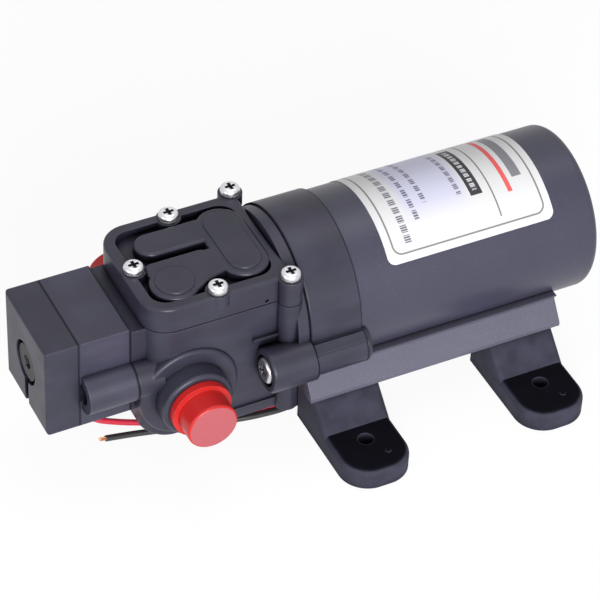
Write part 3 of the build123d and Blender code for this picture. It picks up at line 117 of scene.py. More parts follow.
class PumpLook(bpy.types.PropertyGroup):
    """Sizes and colours that a user may change."""

    moulding_colour: FloatVectorProperty(
        name="Moulding",
        description="Colour of the black plastic mouldings",
        subtype="COLOR",
        size=3,
        default=(0.024, 0.0232, 0.038),
    )
    can_colour: FloatVectorProperty(
        name="Motor paint",
        description="Colour of the motor's satin paint",
        subtype="COLOR",
        size=3,
        default=(0.034, 0.033, 0.055),
    )
    cradle_colour: FloatVectorProperty(
        name="Cradle paint",
        description="Colour of the cradle's paint",
        subtype="COLOR",
        size=3,
        default=(0.078, 0.076, 0.108),
    )
    rubber_colour: FloatVectorProperty(
        name="Foot rubber",
        description="Colour of the rubber feet",
        subtype="COLOR",
        size=3,
        default=(0.02, 0.02, 0.031),
    )
    cap_colour: FloatVectorProperty(
        name="Port cap",
        description="Colour of the soft port caps",
        subtype="COLOR",
        size=3,
        default=(0.45, 0.009, 0.008),
    )
    label_colour: FloatVectorProperty(
        name="Label film",
        description="Colour of the label's bare film",
        subtype="COLOR",
        size=3,
        default=(0.58, 0.58, 0.59),
    )
    ink_colour: FloatVectorProperty(
        name="Label ink",
        description="Colour of the label's dark printing",
        subtype="COLOR",
        size=3,
        default=(0.02, 0.02, 0.028),
    )
    lead_colour: FloatVectorProperty(
        name="Red lead",
        description="Colour of the red leads' insulation",
        subtype="COLOR",
        size=3,
        default=(0.5, 0.012, 0.04),
    )
    grain_size: FloatProperty(
        name="Moulded grain",
        description="Size of the grain on the plastic",
        subtype="DISTANCE",
        unit="LENGTH",
        default=0.45 * MM,
    )
    edge_radius: FloatProperty(
        name="Edge softness",
        description="How far the edges look rounded",
        subtype="DISTANCE",
        unit="LENGTH",
        default=0.35 * MM,
    )
    boss_radius: FloatProperty(
        name="End boss radius",
        description="Radius of the stamped boss on the motor's closed end",
        subtype="DISTANCE",
        unit="LENGTH",
        default=7.5 * MM,
    )
    boss_height: FloatProperty(
        name="End boss height",
        description="How far the stamped boss stands out",
        subtype="DISTANCE",
        unit="LENGTH",
        default=0.9 * MM,
    )
    slab_height: FloatProperty(
        name="Foot slab height",
        description="Height of the top of each foot's slab",
        subtype="DISTANCE",
        unit="LENGTH",
        default=6.2 * MM,
    )
    pip_radius: FloatProperty(
        name="Foot pip radius",
        description="Radius of the moulded pip on each foot",
        subtype="DISTANCE",
        unit="LENGTH",
        default=0.9 * MM,
    )
    strand_radius: FloatProperty(
        name="Strand radius",
        description="Radius of one copper strand at the bare lead end",
        subtype="DISTANCE",
        unit="LENGTH",
        default=0.17 * MM,
    )
    strand_count: IntProperty(
        name="Outer strands",
        description="Copper strands round the middle one",
        default=6,
        min=3,
    )


def look():
    """The sizes and colours as set."""
    return bpy.context.scene.pump_look


def colour(values):
    """A colour with full alpha."""
    return (*values, 1.0)


# Shader maths


class Field:
    """A value over a surface: one output socket, whose operators add Math nodes."""

    def __init__(self, tree, socket=None):
        self.tree = tree
        self.socket = socket

    def node(self, kind, settings=None, inputs=None, output=0):
        """Adds a node of any kind: its settings first, then its inputs' values or links."""
        made = self.tree.nodes.new(kind)
        for name, value in (settings or {}).items():
            setattr(made, name, value)
        for key, value in (inputs or {}).items():
            if isinstance(value, Field):
                self.tree.links.new(value.socket, made.inputs[key])
            else:
                made.inputs[key].default_value = value
        return Field(self.tree, made.outputs[output] if made.outputs else None)

    def sum_of(self, operation, first, second=0.0):
        return self.node("ShaderNodeMath", {"operation": operation}, {0: first, 1: second})

    def __add__(self, other):
        return self.sum_of("ADD", self, other)

    def __radd__(self, other):
        return self.sum_of("ADD", other, self)

    def __sub__(self, other):
        return self.sum_of("SUBTRACT", self, other)

    def __rsub__(self, other):
        return self.sum_of("SUBTRACT", other, self)

    def __mul__(self, other):
        return self.sum_of("MULTIPLY", self, other)

    def __rmul__(self, other):
        return self.sum_of("MULTIPLY", other, self)

    def __truediv__(self, other):
        return self.sum_of("DIVIDE", self, other)

    def __gt__(self, other):
        return self.sum_of("GREATER_THAN", self, other)

    def __lt__(self, other):
        return self.sum_of("LESS_THAN", self, other)

    def __abs__(self):
        return self.sum_of("ABSOLUTE", self)

    def most(self, other):
        return self.sum_of("MAXIMUM", self, other)

    def fraction(self):
        return self.sum_of("FRACT", self)

    def axes(self):
        split = self.node("ShaderNodeSeparateXYZ", inputs={0: self}).socket.node
        return [Field(self.tree, split.outputs[index]) for index in range(3)]

    def smooth(self, low, high):
        """0 below low, 1 above high, eased between."""
        settings = {"interpolation_type": "SMOOTHSTEP"}
        return self.node("ShaderNodeMapRange", settings, {"Value": self, 1: low, 2: high})

    def blend(self, first, second):
        """The colour first where this is 0, and second where it is 1."""
        settings = {"data_type": "RGBA"}
        inputs = {"Factor": self, 6: first, 7: second}
        return self.node("ShaderNodeMix", settings, inputs, output=2)


def place(start):
    """The object coordinates of a point."""
    return start.node("ShaderNodeTexCoord", output=3)


def facing(start):
    """The normal of a point."""
    return start.node("ShaderNodeNewGeometry", output=1)


def clouds(start, size, detail=3.0, stretch=(1.0, 1.0, 1.0)):
    """Soft noise whose blots are about size across, drawn out along an axis by stretch."""
    mapped = start.node("ShaderNodeMapping", inputs={0: place(start), "Scale": stretch})
    inputs = {"Vector": mapped, "Scale": 1 / size, "Detail": detail}
    return start.node("ShaderNodeTexNoise", inputs=inputs)


def crevice(start, distance):
    """1 in the open, falling to 0 in corners narrower than distance."""
    settings = {"samples": 8, "only_local": False}
    return start.node("ShaderNodeAmbientOcclusion", settings, {"Distance": distance}, output=1)


def edge_highlight_and_wear(start):
    """1 along outer edges, where the rounded normal leaves the face's own, else 0; it marks the edges that
    get a painted highlight, and rubbed wear on the plastic.
    """
    edge = start.node("ShaderNodeBevel", {"samples": 4}, {"Radius": look().edge_radius * 1.4})
    own = start.node("ShaderNodeNewGeometry", output=3)
    settings = {"operation": "DOT_PRODUCT"}
    same = start.node("ShaderNodeVectorMath", settings, {0: edge, 1: own}, output=1)
    return (1 - same).smooth(0.01, 0.12) * crevice(start, 1.5 * MM).smooth(0.75, 0.95)


def rounded_bumps(start, height, strength, distance):
    """A normal from a height, over edges that look rounded."""
    edge = start.node("ShaderNodeBevel", {"samples": 6}, {"Radius": look().edge_radius})
    inputs = {"Strength": strength, "Distance": distance, "Height": height, "Normal": edge}
    return start.node("ShaderNodeBump", inputs=inputs)


def plain_bumps(start, height, strength, distance):
    """A normal from a height."""
    inputs = {"Strength": strength, "Distance": distance, "Height": height}
    return start.node("ShaderNodeBump", inputs=inputs)


def make_material(name, recipe, *values, **named):
    """A material from a recipe's sockets; its share of painted shade and dark seams goes to a dull
    near-black.
    """
    material = bpy.data.materials.new(name)
    material.use_nodes = True
    tree = material.node_tree
    tree.nodes.clear()
    start = Field(tree)
    sockets = recipe(start, *values, **named)
    # Painted shade and dark seams: this share of the surface is mixed toward a dull near-black.
    corner = sockets.pop("Corner", None)
    shader = start.node("ShaderNodeBsdfPrincipled", inputs=sockets)
    if corner:
        dull = start.node("ShaderNodeBsdfDiffuse", inputs={"Color": colour(SHADE_AND_SEAM_BLACK)})
        shader = start.node("ShaderNodeMixShader", inputs={0: corner, 1: shader, 2: dull})
    start.node("ShaderNodeOutputMaterial", inputs={"Surface": shader})
    return material


# Finishes that show


def seam_lines(start, axis, places, width):
    """1 along thin lines where two mouldings meet, 0 elsewhere."""
    along = place(start).axes()[axis]
    lines = None
    for where in places:
        line = 1 - abs(along - where).smooth(width / 2, width)
        lines = line if lines is None else lines.most(line)
    return lines


def moulded_plastic(start, base, seam_axis, seams, shine, seam_depth=0.85):
    """Satin black plastic: fine grain, flow marks, lighter edges that are rubbed wear and a painted
    highlight, painted shade in corners, and dark seams.
    """
    grain = clouds(start, look().grain_size, 2.0)
    flow = clouds(start, 14 * MM, 4.0, (1.0, 1.0, 2.5))
    handled = clouds(start, 5 * MM, 5.0)
    # Painted shade: corners narrower than the hollow reach darken toward a dull near-black.
    hollow_shade = 1 - crevice(start, HOLLOW_REACH)
    seam = seam_lines(start, seam_axis, seams, SEAM_WIDTH)
    dark = (hollow_shade.smooth(0.22, 0.75) * 0.9).most(seam * seam_depth)
    light = flow.smooth(0.35, 0.7).blend(
        colour([channel * 0.84 for channel in base]), colour([channel * 1.16 for channel in base])
    )
    # Painted highlight and rubbed wear: outer edges are lightened toward a brighter tone of the base.
    lightened = (edge_highlight_and_wear(start) * 0.55).blend(light, colour([channel * 2.4 for channel in base]))
    height = grain * 0.6 + handled * 0.25 - seam * 6.0
    return {
        "Corner": dark,
        "Base Color": lightened,
        "Roughness": shine + handled * 0.14,
        "Specular IOR Level": 0.3,
        "Normal": rounded_bumps(start, height, 0.28, 0.06 * MM),
    }


def satin_paint(start, base, shine):
    """Sprayed satin paint on sheet metal: orange peel, soft drifts of tone and pale specks."""
    peel = clouds(start, 0.9 * MM, 1.0)
    drift = clouds(start, 22 * MM, 3.0)
    specks = clouds(start, 0.35 * MM, 0.0).smooth(0.7, 0.76)
    # Painted shade: corners narrower than 5 mm darken toward a dull near-black.
    hollow_shade = 1 - crevice(start, 5 * MM)
    tone = drift.blend(
        colour([channel * 0.9 for channel in base]), colour([channel * 1.12 for channel in base])
    )
    specked = (specks * 0.35).blend(tone, colour([channel * 2.2 for channel in base]))
    return {
        "Corner": hollow_shade.smooth(0.35, 0.9) * 0.8,
        "Base Color": specked,
        "Roughness": shine + drift * 0.08,
        "Specular IOR Level": 0.35,
        "Coat Weight": 0.06,
        "Coat Roughness": 0.25,
        "Normal": rounded_bumps(start, peel, 0.16, 0.08 * MM),
    }


def foot_rubber(start):
    """Moulded rubber: matt sides with a bloom, a rougher top to the slab darkened by painted shade,
    painted highlight along outer edges and painted shade in corners.
    """
    base = look().rubber_colour
    # Painted shade: faces turned up at the slab's height are darkened toward a dull near-black.
    up = facing(start).axes()[2].smooth(0.72, 0.975)
    height = place(start).axes()[2] - look().slab_height
    slab_top = up * (1 - height.smooth(SLAB_FADE_START, SLAB_FADE_END))
    bloom = clouds(start, 6 * MM, 4.0)
    grain = clouds(start, 0.3 * MM, 2.0)
    sides = bloom.smooth(0.3, 0.75).blend(
        colour([1.2 * c for c in base]), colour([1.9 * c for c in base])
    )
    # Painted shade in corners narrower than the hollow reach.
    hollow_shade = (1 - crevice(start, HOLLOW_REACH)).smooth(0.25, 0.8)
    # Painted highlight: outer edges are lightened, and the painted shade on the slab's top is lifted
    # there.
    lightened = edge_highlight_and_wear(start)
    return {
        "Corner": (slab_top * (0.93 - lightened * 0.8)).most(hollow_shade * 0.8),
        "Base Color": (lightened * 0.6).blend(sides, colour([3.0 * c for c in base])),
        "Roughness": 0.62 + slab_top * 0.1 + bloom * 0.12,
        "Specular IOR Level": 0.12,
        "Normal": rounded_bumps(start, grain, 0.35, 0.07 * MM),
    }


def soft_cap(start):
    """Soft red plastic: a paler, pinker flat end from painted light, saturated sides and faint draw marks.
    """
    base = look().cap_colour
    # Painted light: the flat end faces near the tip are made paler and pinker.
    end = abs(facing(start).axes()[1]).smooth(0.86, 0.99)
    along = place(start).axes()[1]
    far = abs(along).smooth(cap_tip - END_LIGHT_START, cap_tip - END_LIGHT_END)
    marks = clouds(start, 1.6 * MM, 2.0, (1.0, 0.15, 1.0))
    cloudy = clouds(start, 4 * MM, 3.0)
    side = cloudy.blend(colour(base), colour((base[0] * 0.82, base[1] * 1.3, base[2] * 1.3)))
    painted_end_light = (base[0] * 0.7, base[1] + 0.07, base[2] + 0.085)
    return {
        "Base Color": (end * far * 0.85).blend(side, colour(painted_end_light)),
        "Roughness": 0.3 + cloudy * 0.1 + end * 0.12,
        "Specular IOR Level": 0.35,
        "Subsurface Weight": 0.06,
        "Subsurface Radius": (1.5 * MM, 0.3 * MM, 0.2 * MM),
        "Subsurface Scale": 1.0,
        "Normal": rounded_bumps(start, marks, 0.1, 0.1 * MM),
    }


def bright_screw(start):
    """Bright nickel on a turned head, with painted shade making the driven recess dull and dark."""
    # Painted shade: the driven recess is turned near-black and dull.
    recess_shade = (1 - crevice(start, 1.4 * MM)).smooth(0.12, 0.4)
    turned = clouds(start, 0.5 * MM, 2.0)
    return {
        "Base Color": recess_shade.blend(colour((0.64, 0.64, 0.67)), colour((0.006, 0.006, 0.009))),
        "Metallic": 1 - recess_shade * 0.9,
        "Roughness": 0.24 + turned * 0.14 + recess_shade * 0.4,
        "Normal": rounded_bumps(start, turned, 0.08, 0.05 * MM),
    }


def band(field, low, high):
    """1 between low and high, 0 elsewhere."""
    return (field > low) * (field < high)


def barred_row(along, around, low_x, high_x, low_s, high_s, pitch, gap_share):
    """A row of plain bars on a pitch, each cut into short ticks."""
    inside = band(along, low_x, high_x) * band(around, low_s, high_s)
    bars = (around / pitch).fraction() < 1 - gap_share
    ticks = (around / (pitch * gap_share)).fraction() < 0.72
    return inside * bars * ticks


def label_print(start):
    """White film with a thin border, a divider, a dark bar, a stripe, a block and rows of plain bars.

    Places run along the can in X, and round it as an arc length from the near side over the top.
    """
    ink = colour(look().ink_colour)
    film = look().label_colour
    along, y, z = place(start).axes()
    angle = start.node("ShaderNodeMath", {"operation": "ARCTAN2"}, {0: z - axis_z, 1: 0 - y})
    around = angle * can_radius
    low_s = LABEL_START_ANGLE * can_radius
    high_s = LABEL_END_ANGLE * can_radius
    inset = 2.4 * MM
    line = 0.24 * MM
    corner = 2.6 * MM

    def border_line(inset_by, radius):
        """1 on a thin line round the label: a rectangle taken in and then grown by the radius."""
        middle_x = (label_low.x + label_high.x) / 2
        middle_s = (low_s + high_s) / 2
        half_x = (label_high.x - label_low.x) / 2 - inset_by - radius
        half_s = (high_s - low_s) / 2 - inset_by - radius
        off_x = (abs(along - middle_x) - half_x).most(0.0)
        off_s = (abs(around - middle_s) - half_s).most(0.0)
        square = off_x * off_x + off_s * off_s
        reach = start.node("ShaderNodeMath", {"operation": "SQRT"}, {0: square})
        return 1 - abs(reach - radius).smooth(line * 0.7, line * 1.5)

    border = border_line(inset, corner)
    divider_x = 22.0 * MM
    divider = band(along, divider_x - line, divider_x + line) * band(
        around, low_s + inset + 2.2 * MM, high_s - inset
    )
    bar = band(along, 15.6 * MM, 19.3 * MM) * band(around, 27.9 * MM, 50 * MM)
    ticks = barred_row(along, around, 16.7 * MM, 18.2 * MM, 29.4 * MM, 48.5 * MM, 1.9 * MM, 0.3)
    rows = None
    for low_x, high_x, start_s, end_s, pitch in (
        (11.9, 13.3, 29.5, 49.0, 2.6),
        (1.3, 2.7, 30.1, 55.0, 3.1),
        (-2.9, -1.5, 25.7, 54.0, 3.7),
        (-8.1, -6.1, 19.8, 54.5, 2.9),
    ):
        row = barred_row(
            along, around, low_x * MM, high_x * MM, start_s * MM, end_s * MM, pitch * MM, 0.24
        )
        rows = row if rows is None else rows.most(row)
    stripe = band(along, 26.6 * MM, 28.0 * MM) * band(around, 26.0 * MM, 52.0 * MM)
    block = band(along, 29.6 * MM, 32.6 * MM) * band(around, 30.0 * MM, 52.0 * MM)
    panel_length = along.smooth(-6 * MM, -3 * MM) * (1 - along.smooth(13 * MM, 16 * MM))
    panel = panel_length * around.smooth(24 * MM, 32 * MM)
    paper = clouds(start, 9 * MM, 3.0)
    bare = paper.blend(colour([0.97 * c for c in film]), colour(film))
    tinted = (panel * 0.8).blend(bare, colour((0.5, 0.5, 0.66)))
    lined = (border.most(divider) * 0.9).blend(tinted, colour((0.12, 0.115, 0.1)))
    rowed = (rows * 0.85).blend(lined, colour((0.05, 0.045, 0.08)))
    striped = (stripe * 0.9).blend(rowed, colour((0.62, 0.03, 0.03)))
    blocked = (block * 0.85).blend(striped, colour((0.1, 0.1, 0.12)))
    barred = (bar * (1 - ticks)).blend(blocked, ink)
    return {
        "Base Color": barred,
        "Roughness": 0.4 + paper * 0.08,
        "Specular IOR Level": 0.3,
        "Normal": plain_bumps(start, paper, 0.05, 0.1 * MM),
    }


def lead_insulation(start, base):
    """Extruded insulation: glossy, with faint rubbed lengths."""
    lightened = clouds(start, 3 * MM, 4.0, (0.3, 1.0, 1.0))
    tint = lightened.blend(colour(base), colour([0.7 * c + 0.02 for c in base]))
    return {
        "Base Color": tint,
        "Roughness": 0.28 + lightened * 0.16,
        "Normal": plain_bumps(start, lightened, 0.1, 0.1 * MM),
    }


# Finishes of the inner pieces


def turned_metal(start, base, rough):
    """Ground or turned metal: fine lines round the shaft's axis."""
    lines = clouds(start, 0.5 * MM, 2.0, (6.0, 0.3, 0.3))
    return {
        "Base Color": lines.blend(colour(base), colour([0.82 * c for c in base])),
        "Metallic": 1.0,
        "Roughness": rough + lines * 0.12,
        "Normal": plain_bumps(start, lines, 0.12, 0.03 * MM),
    }


def cast_metal(start, base):
    """Die cast alloy with a dull, slightly pitted skin."""
    skin = clouds(start, 0.8 * MM, 4.0)
    return {
        "Base Color": skin.blend(colour([0.85 * c for c in base]), colour(base)),
        "Metallic": 0.9,
        "Roughness": 0.42 + skin * 0.15,
        "Normal": rounded_bumps(start, skin, 0.2, 0.06 * MM),
    }


def sintered(start, base, metallic):
    """Pressed powder: dull, with tiny open pores."""
    inputs = {"Vector": place(start), "Scale": 1 / (0.5 * MM)}
    pores = start.node("ShaderNodeTexVoronoi", inputs=inputs)
    open_pores = 1 - pores.smooth(0.1, 0.3)
    return {
        "Base Color": (open_pores * 0.7).blend(colour(base), colour([0.35 * c for c in base])),
        "Metallic": metallic,
        "Roughness": 0.55 + open_pores * 0.25,
        "Normal": plain_bumps(start, pores, 0.25, 0.08 * MM),
    }


def stacked_sheets(start, base):
    """The armature's thin steel sheets, seen as fine dark lines along the shaft."""
    along = place(start).axes()[0]
    sheet = (along / (0.5 * MM)).fraction()
    line = 1 - abs(sheet - 0.5).smooth(0.36, 0.48)
    spots = clouds(start, 2 * MM, 4.0)
    return {
        "Base Color": line.blend(colour([0.3 * c for c in base]), colour(base)),
        "Metallic": 0.9,
        "Roughness": 0.4 + spots * 0.2,
        "Normal": plain_bumps(start, line, 0.4, 0.05 * MM),
    }


def wound_wire(start, base):
    """Enamelled copper wire laid side by side round the armature's ends."""
    x, y, z = place(start).axes()
    angle = start.node("ShaderNodeMath", {"operation": "ARCTAN2"}, {0: z - axis_z, 1: y})
    turns = (angle * 14.0 + x / (0.9 * MM)).fraction()
    crown = 1 - abs(turns - 0.5) * 2
    enamel = clouds(start, 3 * MM, 3.0)
    return {
        # Painted shade: each turn darkens toward its edges, where neighbouring turns meet.
        "Base Color": crown.smooth(0.0, 0.5).blend(colour([0.2 * c for c in base]), colour(base)),
        "Metallic": 0.75,
        "Roughness": 0.28 + enamel * 0.1,
        "Normal": plain_bumps(start, crown, 0.8, 0.25 * MM),
    }


def moulded_rubber(start, base):
    """Thin moulded rubber with a dusting of talc."""
    talc = clouds(start, 2.5 * MM, 5.0)
    return {
        "Base Color": (talc.smooth(0.5, 0.8) * 0.4).blend(
            colour(base), colour([c + 0.08 for c in base])
        ),
        "Roughness": 0.6 + talc * 0.15,
        "Normal": plain_bumps(start, talc, 0.15, 0.08 * MM),
    }


def pale_plastic(start, base):
    """White acetal: waxy, with faint flow."""
    flow = clouds(start, 6 * MM, 3.0)
    return {
        "Base Color": flow.blend(colour(base), colour([0.9 * c for c in base])),
        "Roughness": 0.36 + flow * 0.1,
        "Subsurface Weight": 0.08,
        "Subsurface Radius": (1 * MM, 1 * MM, 1 * MM),
        "Normal": rounded_bumps(start, flow, 0.06, 0.08 * MM),
    }


def laminated_board(start, base):
    """Brown laminate with a woven print just under its skin."""
    _, y, z = place(start).axes()
    weave = ((y / (0.9 * MM)).fraction() - 0.5) * ((z / (0.9 * MM)).fraction() - 0.5)
    tone = clouds(start, 5 * MM, 3.0)
    return {
        "Base Color": (tone * 0.6).blend(colour(base), colour([0.6 * c for c in base])),
        "Roughness": 0.42 + tone * 0.15,
        "Normal": plain_bumps(start, weave, 0.3, 0.08 * MM),
    }


def dress(material, *names):
    """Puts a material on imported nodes, through their objects' slots."""
    for name in names:
        piece = frame["nodes"][name]
        if not piece.material_slots:
            piece.data.materials.append(material)
        for slot in piece.material_slots:
            slot.material = material


# Surfaces


def closed_tubes(name, rings):
    """One mesh from tubes, given as an array of tubes by rings by points by 3.

    Point j of ring i joins points j + 1 and rings i + 1, and each tube's first and last ring
    have no radius, so merging doubles closes it with a pole at each end.
    """
    tubes, along, round_count, _ = rings.shape
    index = np.arange(tubes * along * round_count).reshape(tubes, along, round_count)
    beside = np.roll(index, -1, axis=2)
    faces = np.stack(
        [index[:, :-1], beside[:, :-1], beside[:, 1:], index[:, 1:]], axis=-1
    ).reshape(-1, 4)
    mesh = bpy.data.meshes.new(name)
    mesh.from_pydata(rings.reshape(-1, 3).tolist(), [], faces.tolist())
    work = bmesh.new()
    work.from_mesh(mesh)
    bmesh.ops.remove_doubles(work, verts=work.verts, dist=1e-7)
    bmesh.ops.dissolve_degenerate(work, edges=work.edges, dist=1e-8)
    bmesh.ops.recalc_face_normals(work, faces=work.faces)
    work.to_mesh(mesh)
    work.free()
    mesh.polygons.foreach_set("use_smooth", np.ones(len(mesh.polygons), dtype=bool))
    piece = bpy.data.objects.new(name, mesh)
    bpy.context.collection.objects.link(piece)
    return piece


def finish_piece(piece, material, body):
    """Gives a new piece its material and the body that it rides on."""
    piece.data.materials.append(material)
    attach(piece, body)


def turned_profile(radii, heights, centres, axis, round_count):
    """A profile of radius and height turned about an axis at each centre.

    Point = centre + axis * height + radius * (side * cos t + up * sin t), t once round.
    """
    axis = np.array(Vector(axis).normalized())
    side = np.array(Vector(axis).orthogonal().normalized())
    up = np.cross(axis, side)
    turn = np.linspace(0, 2 * math.pi, round_count, endpoint=False)
    ring = side[None, :] * np.cos(turn)[:, None] + up[None, :] * np.sin(turn)[:, None]
    flat = radii[:, None, None] * ring[None, :, :]
    shape = flat + (heights[:, None] * axis[None, :])[:, None, :]
    return np.asarray(centres)[:, None, None, :] + shape[None, :, :, :]


def domed_disc(radius, height, sunk, square, steps=18):
    """Profile of a disc with an eased edge: (r / R) ** n + (h / H) ** n = 1, and a flat back."""
    share = np.sin(np.linspace(0, math.pi / 2, steps))
    radii = radius * share
    heights = height * (1 - share**square) ** (1 / square)
    radii = np.concatenate([radii, [radius, 0]])
    heights = np.concatenate([heights, [-sunk, -sunk]])
    return radii, heights


# Operators


class PUMP_OT_finish_motor(bpy.types.Operator):
    """Paint the motor and its front housing, and finish the label"""

    bl_idname = "pump.finish_motor"
    bl_label = "Motor"

    def execute(self, context):
        paint = make_material("motor_paint", satin_paint, look().can_colour, shine=0.34)
        dress(paint, "motor_can")
        dimmed = [0.72 * channel for channel in look().can_colour]
        seams = [ring_start, can_low.x]
        front = make_material(
            "motor_front_paint", moulded_plastic, dimmed, 0, seams, shine=0.34, seam_depth=0.5
        )
        dress(front, "motor_front_housing")
        dress(make_material("label_film", label_print), "label")
        radii, heights = domed_disc(
            look().boss_radius, look().boss_height, sunk=0.4 * MM, square=5.0
        )
        centres = [(can_high.x, 0.0, axis_z)]
        rings = turned_profile(radii, heights, centres, axis=(1, 0, 0), round_count=64)
        boss = closed_tubes("motor_end_boss", rings)
        finish_piece(boss, paint, "pump_body")
        return {"FINISHED"}


class PUMP_OT_finish_head(bpy.types.Operator):
    """Finish the pump housing, its lobed cover, the port caps and the bright screws"""

    bl_idname = "pump.finish_head"
    bl_label = "Pump head"

    def execute(self, context):
        base = look().moulding_colour
        seams = [switch_high.x, housing_end]
        housing = make_material("housing_plastic", moulded_plastic, base, 0, seams, shine=0.33)
        dress(housing, "pump_housing")
        cover = make_material("cover_plastic", moulded_plastic, base, 2, [cover_bottom], shine=0.3)
        dress(cover, "head_cover")
        dress(make_material("soft_red", soft_cap), "port_cap_front", "port_cap_back")
        bright = make_material("bright_nickel", bright_screw)
        dress(bright, "cover_screws", "motor_screws", "switch_screws", "piston_screws")
        return {"FINISHED"}


class PUMP_OT_finish_switch(bpy.types.Operator):
    """Finish the pressure switch and what it holds"""

    bl_idname = "pump.finish_switch"
    bl_label = "Pressure switch"

    def execute(self, context):
        seams = [switch_low.x, switch_high.x]
        for name, node, share in (
            ("switch_plastic", "switch_base", 1.45),
            ("switch_cap_plastic", "switch_cap", 1.05),
        ):
            base = [share * channel for channel in look().moulding_colour]
            plastic = make_material(
                name, moulded_plastic, base, 0, seams, shine=0.36, seam_depth=0.6
            )
            dress(plastic, node)
        adjuster = make_material("adjuster_metal", sintered, (0.012, 0.012, 0.015), metallic=0.1)
        dress(adjuster, "switch_adjuster")
        board = make_material("switch_case", laminated_board, (0.05, 0.05, 0.055))
        dress(board, "microswitch")
        dress(make_material("button_plastic", pale_plastic, (0.6, 0.06, 0.04)), "microswitch_button")
        dress(make_material("plunger_plastic", pale_plastic, (0.8, 0.79, 0.74)), "switch_plunger")
        terminal = make_material("terminal_brass", turned_metal, (0.72, 0.5, 0.22), rough=0.3)
        dress(terminal, "microswitch_terminals")
        return {"FINISHED"}


class PUMP_OT_finish_base(bpy.types.Operator):
    """Finish the cradle and the rubber feet, and add the feet's moulded pips"""

    bl_idname = "pump.finish_base"
    bl_label = "Base and feet"

    def execute(self, context):
        cradle = make_material("cradle_paint", satin_paint, look().cradle_colour, shine=0.42)
        dress(cradle, "base_cradle")
        rubber = make_material("foot_rubber", foot_rubber)
        feet = ["foot_front_pump", "foot_front_motor", "foot_back_pump", "foot_back_motor"]
        dress(rubber, *feet)
        slab_top = look().slab_height
        centres = [
            (x + PIP_ACROSS, y + math.copysign(PIP_TOWARD_TOE, y), slab_top)
            for x, y in foot_hole_places(feet)
        ]
        radii, heights = domed_disc(
            look().pip_radius, 0.25 * MM, sunk=0.3 * MM, square=2.0, steps=8
        )
        rings = turned_profile(radii, heights, centres, axis=(0, 0, 1), round_count=20)
        pips = closed_tubes("foot_pips", rings)
        finish_piece(pips, rubber, "pump_body")
        return {"FINISHED"}


def foot_hole_places(feet):
    """The screw hole of each foot: midway along X, and the toe's margin in from its tip."""
    places = []
    for name in feet:
        low, high = (Vector(corner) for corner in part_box(name))
        tip_y = max(low.y, high.y, key=abs)
        places.append(((low.x + high.x) / 2, tip_y - math.copysign(TOE_MARGIN, tip_y)))
    return places


class PUMP_OT_finish_leads(bpy.types.Operator):
    """Finish the leads and their grommet, and fray the bare end of the black lead"""

    bl_idname = "pump.finish_leads"
    bl_label = "Leads"

    def execute(self, context):
        red = make_material("red_insulation", lead_insulation, look().lead_colour)
        dress(red, "red_lead_front", "red_lead_back")
        black = make_material("black_insulation", lead_insulation, (0.012, 0.012, 0.014))
        dress(black, "black_lead")
        dress(make_material("grommet_rubber", moulded_rubber, (0.02, 0.02, 0.022)), "lead_grommet")
        copper = make_material("bare_copper", turned_metal, (0.85, 0.42, 0.22), rough=0.3)
        strands = closed_tubes("lead_strands", strand_rings())
        finish_piece(strands, copper, "pump_body")
        return {"FINISHED"}


def strand_rings():
    """Twisted strands at the black lead's cut end.

    Strand k's centre = end + run * t + spread(t) * (side * cos a + up * sin a), with
    a = k * share of a turn + twist * t, and a ring of the strand's radius round it.
    """
    run = (LEAD_END - LEAD_BEFORE) / np.linalg.norm(LEAD_END - LEAD_BEFORE)
    side = np.cross(run, (0, 0, 1.0))
    side /= np.linalg.norm(side)
    up = np.cross(run, side)
    count = look().strand_count
    lay_radius = 2.1 * look().strand_radius * np.array([0.0] + [1.0] * count)
    turn = np.array([0.0] + [2 * math.pi * index / count for index in range(count)])
    t = np.linspace(0, 1, 15)
    spread = 1 + 0.35 * t**2
    angle = turn[:, None] + 1.1 * t[None, :]
    lengths = BARE_LENGTH * (1 - 0.05 * (np.arange(count + 1) % 3))
    reach = lengths[:, None] * t[None, :] - STRAND_SUNK
    offset = lay_radius[:, None] * spread[None, :]
    centre = (
        LEAD_END
        + reach[..., None] * run
        + (offset * np.cos(angle))[..., None] * side
        + (offset * np.sin(angle))[..., None] * up
    )
    psi = np.linspace(0, 2 * math.pi, 10, endpoint=False)
    ring = np.cos(psi)[:, None] * side + np.sin(psi)[:, None] * up
    thickness = look().strand_radius * np.sqrt(np.clip(1 - (2 * t - 1) ** 16, 0, 1))
    return centre[:, :, None, :] + thickness[None, :, None, None] * ring[None, None, :, :]


def sprung_coil(name, joint):
    """A copy of a packed brush spring that stands in for it, with the packed spring hidden."""
    low, high = (Vector(corner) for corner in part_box(name))
    rows = frame["record"]["behaviour"]["joints"]
    travel = next(row for row in rows if row["name"] == joint)["range_m"][1]
    work = bmesh.new()
    work.from_mesh(frame["nodes"][name].data)
    bmesh.ops.remove_doubles(work, verts=work.verts, dist=1e-7)
    mesh = bpy.data.meshes.new(name + "_coil")
    work.to_mesh(mesh)
    work.free()
    coil = bpy.data.objects.new(name + "_coil", mesh)
    bpy.context.collection.objects.link(coil)
    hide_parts(name)
    1 - travel / (high.z - low.z)
    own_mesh(coil)
    return coil


